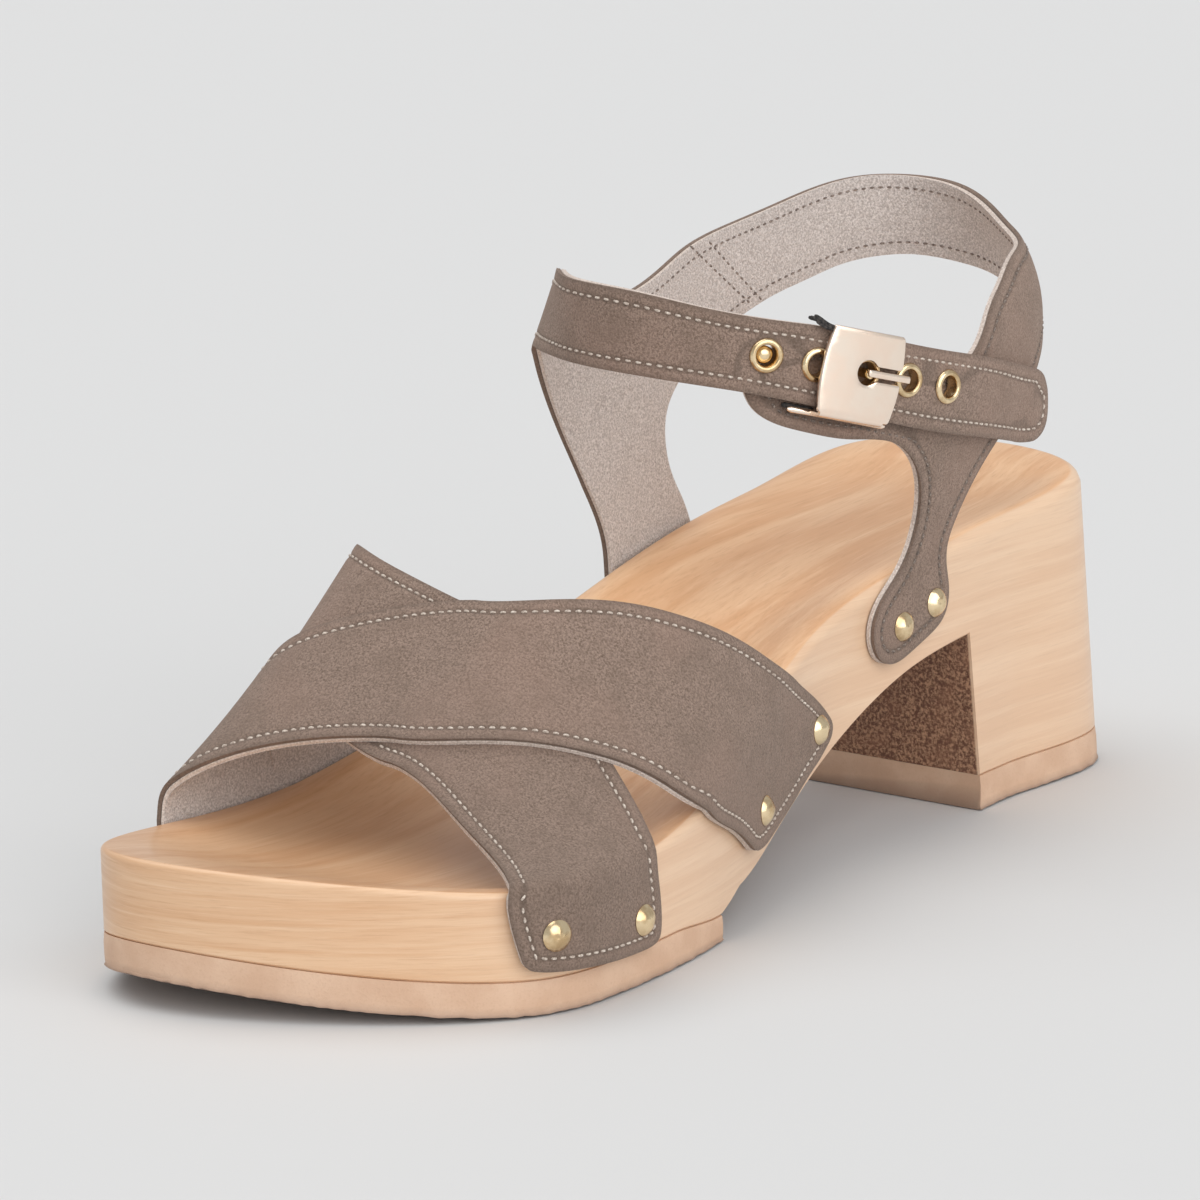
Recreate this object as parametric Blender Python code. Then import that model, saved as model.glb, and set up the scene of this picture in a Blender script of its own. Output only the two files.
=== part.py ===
# Left wooden sole sandal: dished block sole, rubber outsole and heel lift, two crossed straps
# nailed to the sole, one quarter with its ankle strap, eyelets, plate buckle and domed nails.
# Toe towards -Y, heel towards +Y, buckle side +X, floor at z = 0. Lengths below are millimetres.
import bpy
import bmesh
import math
import numpy as np
from mathutils import Vector
from mathutils.geometry import delaunay_2d_cdt

MM = 0.001
ORIGIN_X, ORIGIN_Y = 6.2, -1.0    # what is taken off so that the box of the whole sits on the origin
GAP = 0.3                         # clearance between neighbouring pieces

# outline of the wooden sole seen from above: (station along the foot, place across it) down each side
LATERAL_EDGE = ((105, 22.5), (80, 25.3), (50, 26.5), (20, 27.2), (-10, 35.3), (-40, 45.2), (-70, 50.0),
                (-95, 43.2))
MEDIAL_EDGE = ((-100, -35.4), (-75, -36.8), (-45, -34.0), (-15, -28.3), (15, -26.4), (45, -29.1),
               (75, -33.3), (105, -32.9))
TOE_TIP = (-15.1, -124.9)
HEEL_TIP = (-0.4, 115.0)
# height of the rim of the footbed along the foot
RIM_Y = (-122, -85, -50, -15, 20, 55, 90, 122)
RIM_Z = (26.4, 21.8, 24.3, 34.4, 46.4, 53.6, 57.7, 63.3)
MEDIAL_LIFT_Y = (-110, -60, 0, 70, 110)
MEDIAL_LIFT_Z = (0.0, 0.4, 3.9, 1.4, 0.3)
# underside of the arch from the end of the outsole to the front of the heel
ARCH_Y = (-33, -18, -5, 20, 45, 64.3)
ARCH_Z = (6.6, 8.6, 12.5, 22.2, 32.4, 35.4)
BREAST_TOP_Y, BREAST_FOOT_Y = 64.3, 67.3
OUTSOLE_END_Y = -33.0
OUTSOLE_THICK, OUTSOLE_END_THICK = 6.0, 4.4
TAPER_START_Y = -52.0
LIFT_THICK = 6.6
TOE_SPRING, SPRING_START_Y, SPRING_RUN = 4.9, -85.0, 37.5
HEEL_FLARE_BACK, HEEL_FLARE_SIDE, HEEL_HALF_WIDTH = 8.2, -1.3, 29.0
# the top edge of the wood is rounded off, runs nearly level for a little, and dips to the dished footbed
EDGE_ROUND, EDGE_HALF_IN, EDGE_HALF_DOWN = 2.2, 0.5, 0.75
RIM_FLAT, RIM_DROP, SHORE_WIDE, SHORE_DROP = 3.2, 0.1, 2.5, 0.35
DISH_DEPTH, DISH_FRONT, DISH_REAR = 2.6, (-118.0, 30.0), (112.0, 26.0)
FOOT_INSET = 0.6                  # how far the floor edge of the wood, outsole and lift is cut back
WALL_ROWS = (0.03, 0.35, 0.7, 1.0)

STRAP_THICK = 1.9
NAIL_HEAD_R, NAIL_HEAD_H, NAIL_PIN_R = 2.8, 1.5, 0.9
EYELET_R, EYELET_BARREL_R, EYELET_WALL, EYELET_RISE = 2.95, 2.15, 0.3, 0.7


def natural_spline(xs, ys):
    """Cubic through the given pairs, straight at both ends."""
    xs = np.array(xs, float)
    ys = np.array(ys, float)
    n = len(xs)
    h = np.diff(xs)
    a = np.zeros((n, n))
    r = np.zeros(n)
    a[0, 0] = a[-1, -1] = 1.0
    for i in range(1, n - 1):
        a[i, i - 1], a[i, i], a[i, i + 1] = h[i - 1], 2 * (h[i - 1] + h[i]), h[i]
        r[i] = 6 * ((ys[i + 1] - ys[i]) / h[i] - (ys[i] - ys[i - 1]) / h[i - 1])
    m = np.linalg.solve(a, r)

    def value(x):
        x = np.asarray(x, float)
        k = np.clip(np.searchsorted(xs, x) - 1, 0, n - 2)
        lo = x - xs[k]
        hi = xs[k + 1] - x
        span = h[k]
        low = (ys[k] / span - m[k] * span / 6) * hi
        high = (ys[k + 1] / span - m[k + 1] * span / 6) * lo
        return low + high + (m[k] * hi ** 3 + m[k + 1] * lo ** 3) / (6 * span)
    return value


def closed_spline(points, power=0.5, count=1200):
    """Smooth closed curve through the points, returned as count + 1 samples."""
    p = np.array(list(points) + [points[0]], float)
    t = np.concatenate([[0], np.cumsum(np.linalg.norm(np.diff(p, axis=0), axis=1) ** power)])
    n = len(p) - 1
    h = np.diff(t)
    a = np.zeros((n, n))
    r = np.zeros((n, 2))
    for i in range(n):
        back, here, ahead = h[i - 1], h[i], (i + 1) % n
        a[i, i - 1] += back
        a[i, i] += 2 * (back + here)
        a[i, ahead] += here
        r[i] = 6 * ((p[i + 1] - p[i]) / here - (p[i] - p[i - 1 if i else n - 1]) / back)
    m = np.linalg.solve(a, r)
    m = np.vstack([m, m[:1]])
    tt = np.linspace(0, t[-1], count + 1)
    k = np.clip(np.searchsorted(t, tt) - 1, 0, n - 1)
    lo = (tt - t[k])[:, None]
    hi = (t[k + 1] - tt)[:, None]
    s = h[k][:, None]
    return ((p[k] / s - m[k] * s / 6) * hi + (p[k + 1] / s - m[k + 1] * s / 6) * lo
            + (m[k] * hi ** 3 + m[k + 1] * lo ** 3) / (6 * s))


def smooth(t):
    t = np.clip(t, 0.0, 1.0)
    return t * t * (3 - 2 * t)


# the outline as one curve, heel tip to toe tip on the lateral side and back on the medial side
OUTLINE = closed_spline([HEEL_TIP] + [(x, y) for y, x in LATERAL_EDGE] + [TOE_TIP]
                        + [(x, y) for y, x in MEDIAL_EDGE])
TOE_AT = int(np.argmin(OUTLINE[:, 1]))
LATERAL_CURVE = OUTLINE[:TOE_AT + 1][::-1]
MEDIAL_CURVE = OUTLINE[TOE_AT:]


def lateral_x(y):
    return np.interp(y, LATERAL_CURVE[:, 1], LATERAL_CURVE[:, 0])


def medial_x(y):
    return np.interp(y, MEDIAL_CURVE[:, 1], MEDIAL_CURVE[:, 0])


RIM_CURVE = natural_spline(RIM_Y, RIM_Z)
ARCH_CURVE = natural_spline(ARCH_Y, ARCH_Z)


def rim_z(x, y):
    lift = np.interp(y, MEDIAL_LIFT_Y, MEDIAL_LIFT_Z) * np.clip((8.0 - x) / 30.0, 0, 1)
    return RIM_CURVE(y) + lift


def floor_z(y):
    """Underside of the outsole: flat, then sprung up towards the toe."""
    return TOE_SPRING * (np.maximum(SPRING_START_Y - y, 0.0) / SPRING_RUN) ** 2


def outsole_thick(y):
    t = (y - TAPER_START_Y) / (OUTSOLE_END_Y - TAPER_START_Y)
    return OUTSOLE_THICK + (OUTSOLE_END_THICK - OUTSOLE_THICK) * smooth(t)


def wood_floor_z(y):
    """Underside of the wood: over the outsole, along the arch, down the heel front, over the lift."""
    if y <= OUTSOLE_END_Y:
        return float(floor_z(y) + outsole_thick(y) + GAP)
    if y <= BREAST_TOP_Y:
        return float(ARCH_CURVE(y))
    return LIFT_THICK + GAP


def material(name, colour, roughness, metallic=0.0):
    m = bpy.data.materials.new(name)
    m.use_nodes = True
    b = m.node_tree.nodes["Principled BSDF"]
    b.inputs["Base Color"].default_value = (*colour, 1.0)
    b.inputs["Roughness"].default_value = roughness
    b.inputs["Metallic"].default_value = metallic
    m.diffuse_color = (*colour, 1.0)
    return m


def body(name, verts, faces, mat):
    """A closed mesh from points in millimetres; coincident points are joined."""
    index, points, remap = {}, [], []
    for v in verts:
        key = tuple(int(round(c * 20000)) for c in v)
        if key not in index:
            index[key] = len(points)
            points.append(((v[0] - ORIGIN_X) * MM, (v[1] - ORIGIN_Y) * MM, v[2] * MM))
        remap.append(index[key])
    clean = []
    for f in faces:
        ring = []
        for i in f:
            k = remap[i]
            if not ring or ring[-1] != k:
                ring.append(k)
        if len(ring) > 1 and ring[0] == ring[-1]:
            ring.pop()
        if len(set(ring)) >= 3:
            clean.append(ring)
    mesh = bpy.data.meshes.new(name)
    mesh.from_pydata(points, [], clean)
    mesh.validate()
    bm = bmesh.new()
    bm.from_mesh(mesh)
    bmesh.ops.triangulate(bm, faces=bm.faces[:])
    bmesh.ops.recalc_face_normals(bm, faces=bm.faces[:])
    if bm.calc_volume(signed=True) < 0:
        bmesh.ops.reverse_faces(bm, faces=bm.faces[:])
    bm.to_mesh(mesh)
    bm.free()
    mesh.materials.append(mat)
    ob = bpy.data.objects.new(name, mesh)
    bpy.context.scene.collection.objects.link(ob)
    return ob


# stations along the foot where both sides of the sole carry a point
TOE_ARC_Y, HEEL_ARC_Y = -106.0, 102.0
STATIONS = (-98, -88, -78, -68, -60, -52, -42, -33, -25, -15, -5, 5, 15, 25, 35, 45, 55,
            64.3, 67.3, 70.5, 78, 86, 94)


def arc_between(curve, a, b, count):
    """Even steps along the sampled curve from index a to index b."""
    part = curve[a:b + 1]
    run = np.concatenate([[0], np.cumsum(np.linalg.norm(np.diff(part, axis=0), axis=1))])
    at = np.linspace(0, run[-1], count + 2)[1:-1]
    return [(float(np.interp(s, run, part[:, 0])), float(np.interp(s, run, part[:, 1]))) for s in at]


def arc_points(y_from, toe, count):
    """Points round the toe or heel between the two sides at y_from."""
    if toe:
        a = int(np.argmax(OUTLINE[:TOE_AT, 1] < y_from))
        b = TOE_AT + int(np.argmax(OUTLINE[TOE_AT:, 1] > y_from))
        return arc_between(OUTLINE, a, b, count)
    twice = np.vstack([OUTLINE[:-1], OUTLINE])
    n = len(OUTLINE) - 1
    a = TOE_AT + int(np.argmax(OUTLINE[TOE_AT:, 1] > y_from))
    b = n + int(np.argmax(OUTLINE[:TOE_AT, 1] < y_from))
    return arc_between(twice, a, b, count)


def sole_ring(y_low, y_high, toe=True, heel=True):
    """Outline points (x, y, spine x, spine y) of the part of the sole between two stations."""
    inside = [float(y) for y in STATIONS if y_low <= y <= y_high]

    def spine(y):
        return 0.5 * (float(lateral_x(y)) + float(medial_x(y))), y

    def end_arc(y, is_toe, count):
        first, last = (lateral_x, medial_x) if is_toe else (medial_x, lateral_x)
        points = [(float(first(y)), y)] + arc_points(y, is_toe, count) + [(float(last(y)), y)]
        return [(px, py, *spine(y)) for px, py in points]
    lateral = [(float(lateral_x(y)), y, *spine(y)) for y in reversed(inside)]
    medial = [(float(medial_x(y)), y, *spine(y)) for y in inside]
    front = end_arc(TOE_ARC_Y, True, 17) if toe else []
    back = end_arc(HEEL_ARC_Y, False, 13) if heel else []
    return lateral + front + medial + back if toe else medial + back + lateral


def ring_normals(ring, closed):
    p = np.array([r[:2] for r in ring])
    if closed:
        d = np.roll(p, -1, 0) - np.roll(p, 1, 0)
    else:
        d = np.gradient(p, axis=0)
    d /= np.linalg.norm(d, axis=1)[:, None]
    return np.column_stack([d[:, 1], -d[:, 0]])


def layered_body(name, ring, closed, layers, mat):
    """Skins the ring through the layers: each layer maps (index, point, outward normal, spine)
    to one point; the first and last layers lie on the spine."""
    normals = ring_normals(ring, closed)
    centre = np.mean([r[:2] for r in ring], axis=0)
    lean = sum(float(np.dot(n, np.array(r[:2]) - centre)) for n, r in zip(normals, ring))
    if lean < 0:
        normals = -normals
    n, verts, faces = len(ring), [], []
    for layer in layers:
        for i, (x, y, sx, sy) in enumerate(ring):
            verts.append(layer(x, y, normals[i], sx, sy))
    last = n if closed else n - 1
    for k in range(len(layers) - 1):
        for i in range(last):
            j = (i + 1) % n
            faces.append((k * n + i, k * n + j, (k + 1) * n + j, (k + 1) * n + i))
    if not closed:
        ends = [k * n for k in range(len(layers))] + [k * n + n - 1 for k in reversed(range(len(layers)))]
        faces.append(tuple(ends))
    return body(name, verts, faces, mat)


def inward(x, y, nrm, sx, sy, distance):
    """Moves the edge point inward, never past the spine."""
    px, py = x - nrm[0] * distance, y - nrm[1] * distance
    reach = math.hypot(x - sx, y - sy)
    if reach < distance * 1.5:
        t = min(distance / max(reach, 1e-6), 1.0)
        return x + (sx - x) * t, y + (sy - y) * t
    return px, py


def to_spine(x, y, nrm, sx, sy, start, t):
    """Point a share t of the way from the inset edge to the spine."""
    px, py = inward(x, y, nrm, sx, sy, start)
    return px + (sx - px) * t, py + (sy - py) * t


def heel_flare(x, y, z):
    """The heel block spreads backwards and narrows a little towards its foot."""
    if y <= BREAST_FOOT_Y:
        return x, y
    top = float(RIM_CURVE(y))
    share = 1.0 - min(max(z / top, 0.0), 1.0)
    run = (y - BREAST_FOOT_Y) / (HEEL_TIP[1] - BREAST_FOOT_Y)
    middle = 0.5 * (float(lateral_x(y)) + float(medial_x(y)))
    side = 1.0 + HEEL_FLARE_SIDE / HEEL_HALF_WIDTH * share * min(run * 4.0, 1.0)
    return middle + (x - middle) * side, y + HEEL_FLARE_BACK * share * run


def wood_sole(mat):
    """The block: under side, side wall, rounded edge, and the dished top, layer by layer."""
    ring = sole_ring(-100, 100)
    flat_end = EDGE_ROUND + RIM_FLAT
    shore = flat_end + SHORE_WIDE

    def top_at(inset, drop, share=0.0, dish=0.0):
        def layer(x, y, nrm, sx, sy):
            px, py = to_spine(x, y, nrm, sx, sy, inset, share)
            deep = dish * DISH_DEPTH * float(smooth((py - DISH_FRONT[0]) / DISH_FRONT[1])
                                             * smooth((DISH_REAR[0] - py) / DISH_REAR[1]))
            return px, py, float(rim_z(px, py)) - drop - deep
        return layer

    def wall_at(share):
        def layer(x, y, nrm, sx, sy):
            low = wood_floor_z(y)
            high = float(rim_z(x, y)) - EDGE_ROUND
            z = low + (high - low) * share
            px, py = heel_flare(x, y, z)
            return px, py, z
        return layer

    def under_at(share, inset=0.0):
        def layer(x, y, nrm, sx, sy):
            px, py = to_spine(x, y, nrm, sx, sy, inset, share)
            z = wood_floor_z(y if abs(y - sy) < 1e-6 else py)
            px, py = heel_flare(px, py, z)
            return px, py, z
        return layer
    layers = [under_at(1.0), under_at(0.5), under_at(0.0, FOOT_INSET)]
    layers += [wall_at(share) for share in WALL_ROWS]
    layers += [top_at(EDGE_HALF_IN, EDGE_HALF_DOWN), top_at(EDGE_ROUND, 0.0), top_at(flat_end, RIM_DROP),
               top_at(shore, SHORE_DROP, 0.0, 0.5), top_at(shore, SHORE_DROP, 0.3, 0.85),
               top_at(shore, SHORE_DROP, 0.65, 1.0), top_at(shore, SHORE_DROP, 1.0, 1.0)]
    return layered_body("wooden_sole", ring, True, layers, mat)


def outsole(mat):
    ring = sole_ring(-100, OUTSOLE_END_Y, heel=False)

    def at(share, up, inset=0.0):
        def layer(x, y, nrm, sx, sy):
            px, py = to_spine(x, y, nrm, sx, sy, inset, share)
            return px, py, float(floor_z(py)) + up * float(outsole_thick(py))
        return layer
    layers = [at(1.0, 0.0), at(0.5, 0.0), at(0.0, 0.0, FOOT_INSET), at(0.0, 0.12), at(0.0, 1.0),
              at(0.5, 1.0), at(1.0, 1.0)]
    return layered_body("forefoot_outsole", ring, False, layers, mat)


def heel_lift(mat):
    ring = sole_ring(BREAST_FOOT_Y, 100, toe=False)

    def at(share, z, inset=0.0):
        def layer(x, y, nrm, sx, sy):
            px, py = to_spine(x, y, nrm, sx, sy, inset, share)
            px, py = heel_flare(px, py, z)
            return px, py, z
        return layer
    layers = [at(1.0, 0.0), at(0.5, 0.0), at(0.0, 0.0, FOOT_INSET), at(0.0, 0.8), at(0.0, LIFT_THICK),
              at(0.5, LIFT_THICK), at(1.0, LIFT_THICK)]
    return layered_body("heel_lift", ring, False, layers, mat)


# one cut sheet of strap leather: a flat pattern laid on a curved form
def inside_polygon(points, poly):
    x, y = points[:, 0][:, None], points[:, 1][:, None]
    a, b = poly, np.roll(poly, -1, 0)
    crosses = (a[:, 1] > y) != (b[:, 1] > y)
    rise = b[:, 1] - a[:, 1]
    rise = np.where(np.abs(rise) < 1e-12, 1e-12, rise)
    at = a[:, 0] + (y - a[:, 1]) * (b[:, 0] - a[:, 0]) / rise
    return (np.sum(crosses & (x < at), axis=1) % 2) == 1


def edge_distance(points, poly):
    a, b = poly[None], np.roll(poly, -1, 0)[None]
    q = points[:, None]
    ab = b - a
    t = np.clip(np.sum((q - a) * ab, -1) / np.maximum(np.sum(ab ** 2, -1), 1e-12), 0, 1)
    return np.sqrt(np.min(np.sum((a + t[..., None] * ab - q) ** 2, -1), axis=1))


def lay_on(form, u, v, off):
    """Point of the form at pattern place (u, v), moved off along its outward normal."""
    e = 0.05
    p = np.array(form(u, v))
    du = np.array(form(u + e, v)) - np.array(form(u - e, v))
    dv = np.array(form(u, v + e)) - np.array(form(u, v - e))
    n = np.cross(du, dv)
    n /= np.linalg.norm(n)
    return p + n * off


def sheet_parts(outline, holes, step, form, lift, thick, flip=1.0):
    """Vertices and faces of a sheet: pattern triangles laid on the form, inner and outer."""
    outline = np.array(outline, float)
    loops = [outline] + [np.array(h, float) for h in holes]
    low, high = outline.min(0), outline.max(0)
    grid = np.array([(u, v) for u in np.arange(low[0] + step[0] / 2, high[0], step[0])
                     for v in np.arange(low[1] + step[1] / 2, high[1], step[1])])
    keep = inside_polygon(grid, outline) & (edge_distance(grid, outline) > 0.42 * min(step))
    for h in loops[1:]:
        keep &= ~inside_polygon(grid, h) & (edge_distance(grid, h) > 0.3 * min(step))
    flat, edges = [], []
    for loop in loops:
        first = len(flat)
        flat += [Vector((float(p[0]), float(p[1]))) for p in loop]
        edges += [(first + i, first + (i + 1) % len(loop)) for i in range(len(loop))]
    flat += [Vector((float(p[0]), float(p[1]))) for p in grid[keep]]
    places, _, tris, _, _, _ = delaunay_2d_cdt(flat, edges, [], 0, 1e-6)
    places = np.array([(p.x, p.y) for p in places])
    tris = [tuple(t) for t in tris]
    middles = np.array([places[list(t)].mean(0) for t in tris])
    ok = inside_polygon(middles, outline)
    for h in loops[1:]:
        ok &= ~inside_polygon(middles, h)
    tris = [t for t, k in zip(tris, ok) if k]
    n = len(places)
    verts = [lay_on(form, u, v, flip * lift(u, v)) for u, v in places]
    verts += [lay_on(form, u, v, flip * (lift(u, v) + thick)) for u, v in places]
    faces = [tuple(reversed(t)) for t in tris] + [tuple(i + n for i in t) for t in tris]
    count = {}
    for t in tris:
        for i in range(3):
            e = (t[i], t[(i + 1) % 3])
            count[e] = count.get(e, 0) + 1
    for a, b in count:
        if (b, a) not in count:
            faces.append((a, b, b + n, a + n))
    return verts, faces


def curve_through(points, share=3):
    """A row of points along a soft curve through the given ones."""
    p = np.array(points, float)
    run = np.concatenate([[0], np.cumsum(np.linalg.norm(np.diff(p, axis=0), axis=1))])
    cx, cy = natural_spline(run, p[:, 0]), natural_spline(run, p[:, 1])
    at = np.unique(np.concatenate([np.linspace(run[i], run[i + 1], share + 1) for i in range(len(run) - 1)]))
    return [(float(cx(t)), float(cy(t))) for t in at]


def round_hole(u, v, radius, sides=8):
    return [(u + radius * math.cos(2 * math.pi * k / sides), v + radius * math.sin(2 * math.pi * k / sides))
            for k in range(sides)]


def joined(name, first, others):
    """One solid out of several that overlap."""
    for other in others:
        join = first.modifiers.new("join", "BOOLEAN")
        join.operation, join.solver, join.object = "UNION", "EXACT", other
    bpy.context.view_layer.update()
    shape = bpy.data.meshes.new_from_object(first.evaluated_get(bpy.context.evaluated_depsgraph_get()))
    first.modifiers.clear()
    first.data = shape
    shape.name = name
    for other in others:
        bpy.data.objects.remove(other, do_unlink=True)
    return first


# the form under the crossed straps: walls of the sole and the arch between them
ARCH_SPAN, WALL_GAP = 120.0, 0.45
CROWN, CROWN_RISE, CROWN_AT_Y, ARCH_TILT = 43.9, 0.756, -40.0, -0.594
WIDE_POWER_OUTER, WIDE_POWER_INNER = 1.37, 4.59
HIGH_POWER_OUTER, HIGH_POWER_INNER = 2.085, 1.895


def wall_x(side, y, away):
    """The sole wall at y, moved out square to the outline."""
    curve = lateral_x if side > 0 else medial_x
    slope = (float(curve(y + 1.0)) - float(curve(y - 1.0))) / 2.0
    return float(curve(y)) + side * away * math.sqrt(1.0 + slope * slope)


def foot_form(a, y):
    """Point of the form: a runs from the buckle side over the foot, below 0 down the outer wall and
    above ARCH_SPAN down the inner one."""
    outer, inner = wall_x(1, y, WALL_GAP), wall_x(-1, y, WALL_GAP)
    if a <= 0:
        return outer, y, float(rim_z(outer, y)) + a
    if a >= ARCH_SPAN:
        return inner, y, float(rim_z(inner, y)) - (a - ARCH_SPAN)
    turn = math.pi * a / ARCH_SPAN
    c, s = math.cos(turn), math.sin(turn)
    half, mid = 0.5 * (outer - inner), 0.5 * (outer + inner)
    t = 0.5 * (1 - c)
    wide = WIDE_POWER_OUTER + (WIDE_POWER_INNER - WIDE_POWER_OUTER) * t
    high = HIGH_POWER_OUTER + (HIGH_POWER_INNER - HIGH_POWER_OUTER) * t
    x = mid + half * math.copysign(abs(c) ** (2 / wide), c)
    crown = CROWN + CROWN_RISE * (y - CROWN_AT_Y)
    base = float(rim_z(outer, y)) * (1 + c) / 2 + float(rim_z(inner, y)) * (1 - c) / 2
    return x, y, base + crown * (1 + ARCH_TILT * c) * s ** (2 / high)


# edges of the two straps: place across the foot and station along it
UPPER_FRONT = ((-18.7, -21.5), (-9.6, -30.5), (0, -41.8), (15, -49.3), (30, -57.3), (45, -66.7),
               (60, -75.9), (75, -83.0), (90, -87.7), (105, -90.3), (120, -91.6), (131.5, -91.2))
UPPER_REAR = ((-18.0, 17.0), (-12.2, 12.5), (0, 0.2), (15, -12.2), (30, -25.3), (45, -39.0), (60, -52.2),
              (75, -61.4), (90, -64.8), (105, -64.2), (120, -61.8), (131.5, -61.0))
LOWER_FRONT = ((-13.2, -91.0), (-4.3, -93.0), (0, -93.3), (15, -90.4), (30, -86.4), (45, -83.4),
               (60, -79.2), (75, -73.2), (90, -67.8), (105, -65.8), (120, -62.4), (133, -56.5))
LOWER_REAR = ((-14.8, -59.4), (-7.5, -59.6), (0, -60.6), (15, -58.2), (30, -55.4), (45, -53.5),
              (60, -52.6), (75, -51.6), (90, -46.2), (105, -37.0), (120, -24.5), (132, -16.5))
UPPER_END_OUT = ((-20.6, -17.0), (-21.6, -1.8), (-21.0, 11.5), (-19.4, 16.2))
UPPER_END_IN = ((133.4, -88.6), (134.0, -76.0), (133.4, -63.6))
LOWER_END_OUT = ((-13.8, -88.0), (-14.2, -79.0), (-15.0, -68.0), (-15.6, -61.0))
LOWER_END_IN = ((134.8, -52.6), (135.4, -36.0), (134.6, -20.0))
UPPER_NAILS = ((-13.9, -16.8), (-15.4, 10.6), (127.5, -85.0), (127.5, -67.0))
LOWER_NAILS = ((-7.4, -86.0), (-9.8, -65.0), (128.0, -50.6), (128.5, -23.0))
CROSSING_LIFT = 1.35
LIFT_RISE, LIFT_FALL = (8.0, 22.0), (100.0, 20.0)


def strap_outline(front, rear, end_out, end_in):
    return (curve_through(front, 3) + list(end_in) + list(reversed(curve_through(rear, 3)))
            + list(reversed(end_out)))


def upper_lift(a, y):
    """The upper strap rises off the form where it lies on the lower one."""
    rise = float(smooth((a - LIFT_RISE[0]) / LIFT_RISE[1]))
    return CROSSING_LIFT * rise * (1.0 - float(smooth((a - LIFT_FALL[0]) / LIFT_FALL[1])))


def no_lift(a, y):
    return 0.0


def nail_holes(places, radius=NAIL_PIN_R + GAP):
    return [round_hole(u, v, radius) for u, v in places]


def cross_straps(mat):
    parts = []
    for name, rows, ends, nails, lift in (
            ("cross_straps", (UPPER_FRONT, UPPER_REAR),
            (UPPER_END_OUT, UPPER_END_IN), UPPER_NAILS, upper_lift),
            ("lower_strap", (LOWER_FRONT, LOWER_REAR),
            (LOWER_END_OUT, LOWER_END_IN), LOWER_NAILS, no_lift)):
        outline = strap_outline(*rows, *ends)
        verts, faces = sheet_parts(outline, nail_holes(nails),
        (5.2, 6.6), foot_form, lift, STRAP_THICK, -1.0)
        parts.append(body(name, verts, faces, mat))
    upper, lower = parts
    shape = joined("cross_straps", upper, [lower]).data
    bm = bmesh.new()
    bm.from_mesh(shape)
    bmesh.ops.remove_doubles(bm, verts=bm.verts[:], dist=0.00003)
    bmesh.ops.dissolve_degenerate(bm, edges=bm.edges[:], dist=0.00002)
    bmesh.ops.triangulate(bm, faces=bm.faces[:])
    bm.to_mesh(shape)
    bm.free()
    shape.materials.clear()
    shape.materials.append(mat)
    return upper


# the form under the quarter and the ankle strap: a loop seen from above that runs from the fold at
# the inner front, across the front, along the buckle side and round the heel
LOOP = closed_spline(((-27, 3), (-14, -7), (2, -9), (15, -0.5), (25, 14), (31, 30), (33.8, 47),
(32.4, 66.0), (26.0, 85.2), (15, 96), (1, 103), (-14, 99.5), (-25, 82), (-29, 50), (-29, 22)), 0.7)
LOOP_LENGTH = 295.6
LOOP_RUN = np.concatenate([[0], np.cumsum(np.linalg.norm(np.diff(LOOP, axis=0), axis=1))])
LOOP_RUN *= LOOP_LENGTH / LOOP_RUN[-1]
LEAN_Z, LEAN_RATE = 94.0, 0.0205
LEAN_RISE, LEAN_FALL = (104.0, 14.0), (156.0, 44.0)
LOOP_MIDDLE = (0.0, 45.0)
WALL_TOP_Z, FREE_Z = 50.0, 88.0
FOLD_SLANT, FOLD_Z, FOLD_REACH = 0.62, 95.0, 26.0
HELD_FROM, HELD_TO = (4.0, 12.0), (66.0, 12.0)


def ankle_form(s, z):
    """s is the way round the loop, z the height: on the sole wall low down, on the loop higher up."""
    at = s % LOOP_LENGTH
    x = float(np.interp(at, LOOP_RUN, LOOP[:, 0]))
    y = float(np.interp(at, LOOP_RUN, LOOP[:, 1]))
    held = (1.0 - float(smooth((z - WALL_TOP_Z) / (FREE_Z - WALL_TOP_Z)))) * float(
        smooth((y - HELD_FROM[0]) / HELD_FROM[1]) * (1.0 - smooth((y - HELD_TO[0]) / HELD_TO[1])))
    near = wall_x(1 if x > 0 else -1, y, GAP)
    x += (near - x) * held
    leaning = float(smooth((at - LEAN_RISE[0]) / LEAN_RISE[1])
                    * (1.0 - smooth((at - LEAN_FALL[0]) / LEAN_FALL[1])))
    lean = LEAN_RATE * max(z - LEAN_Z, 0.0) ** 2 * leaning * (s < LOOP_LENGTH)
    away = math.hypot(x - LOOP_MIDDLE[0], y - LOOP_MIDDLE[1])
    x -= (x - LOOP_MIDDLE[0]) / away * lean
    y -= (y - LOOP_MIDDLE[1]) / away * lean
    from_fold = min(at, LOOP_LENGTH - at)
    y += FOLD_SLANT * max(z - FOLD_Z, 0.0) * (1.0 - float(smooth(from_fold / FOLD_REACH)))
    return x, y, z


# the pattern of the quarter with the ankle strap, in loop length and height
QUARTER_TOP = ((58, 98.5), (66, 99.3), (76, 98), (90, 93.5), (100, 90.5), (106, 90.4), (112, 93.2),
               (116, 97.5), (120, 100.7), (124, 102.6), (130, 105.2), (136, 106.9), (142, 107.6),
               (148, 108.0), (155, 108.8), (162, 110.2), (170, 111.8), (180, 114.3), (190, 115.8),
               (204, 116.1), (213, 114.6), (222, 112.5), (233, 110.4), (242, 108.8), (248, 107.2),
               (255.3, 104.2), (264, 101.4), (272, 100.6), (280, 101.6), (288, 103.8))
STRAP_TOP = ((292, 105.4), (297, 107.6), (302, 109.4), (308, 111.0), (315, 112.0), (323, 111.9),
             (331.5, 111.2), (343.2, 108.3), (354.9, 105.3), (368.8, 102.3), (385.8, 97.4),
             (394.7, 94.9), (405.3, 92.2), (418, 88.6), (427.5, 86.0))
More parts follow.
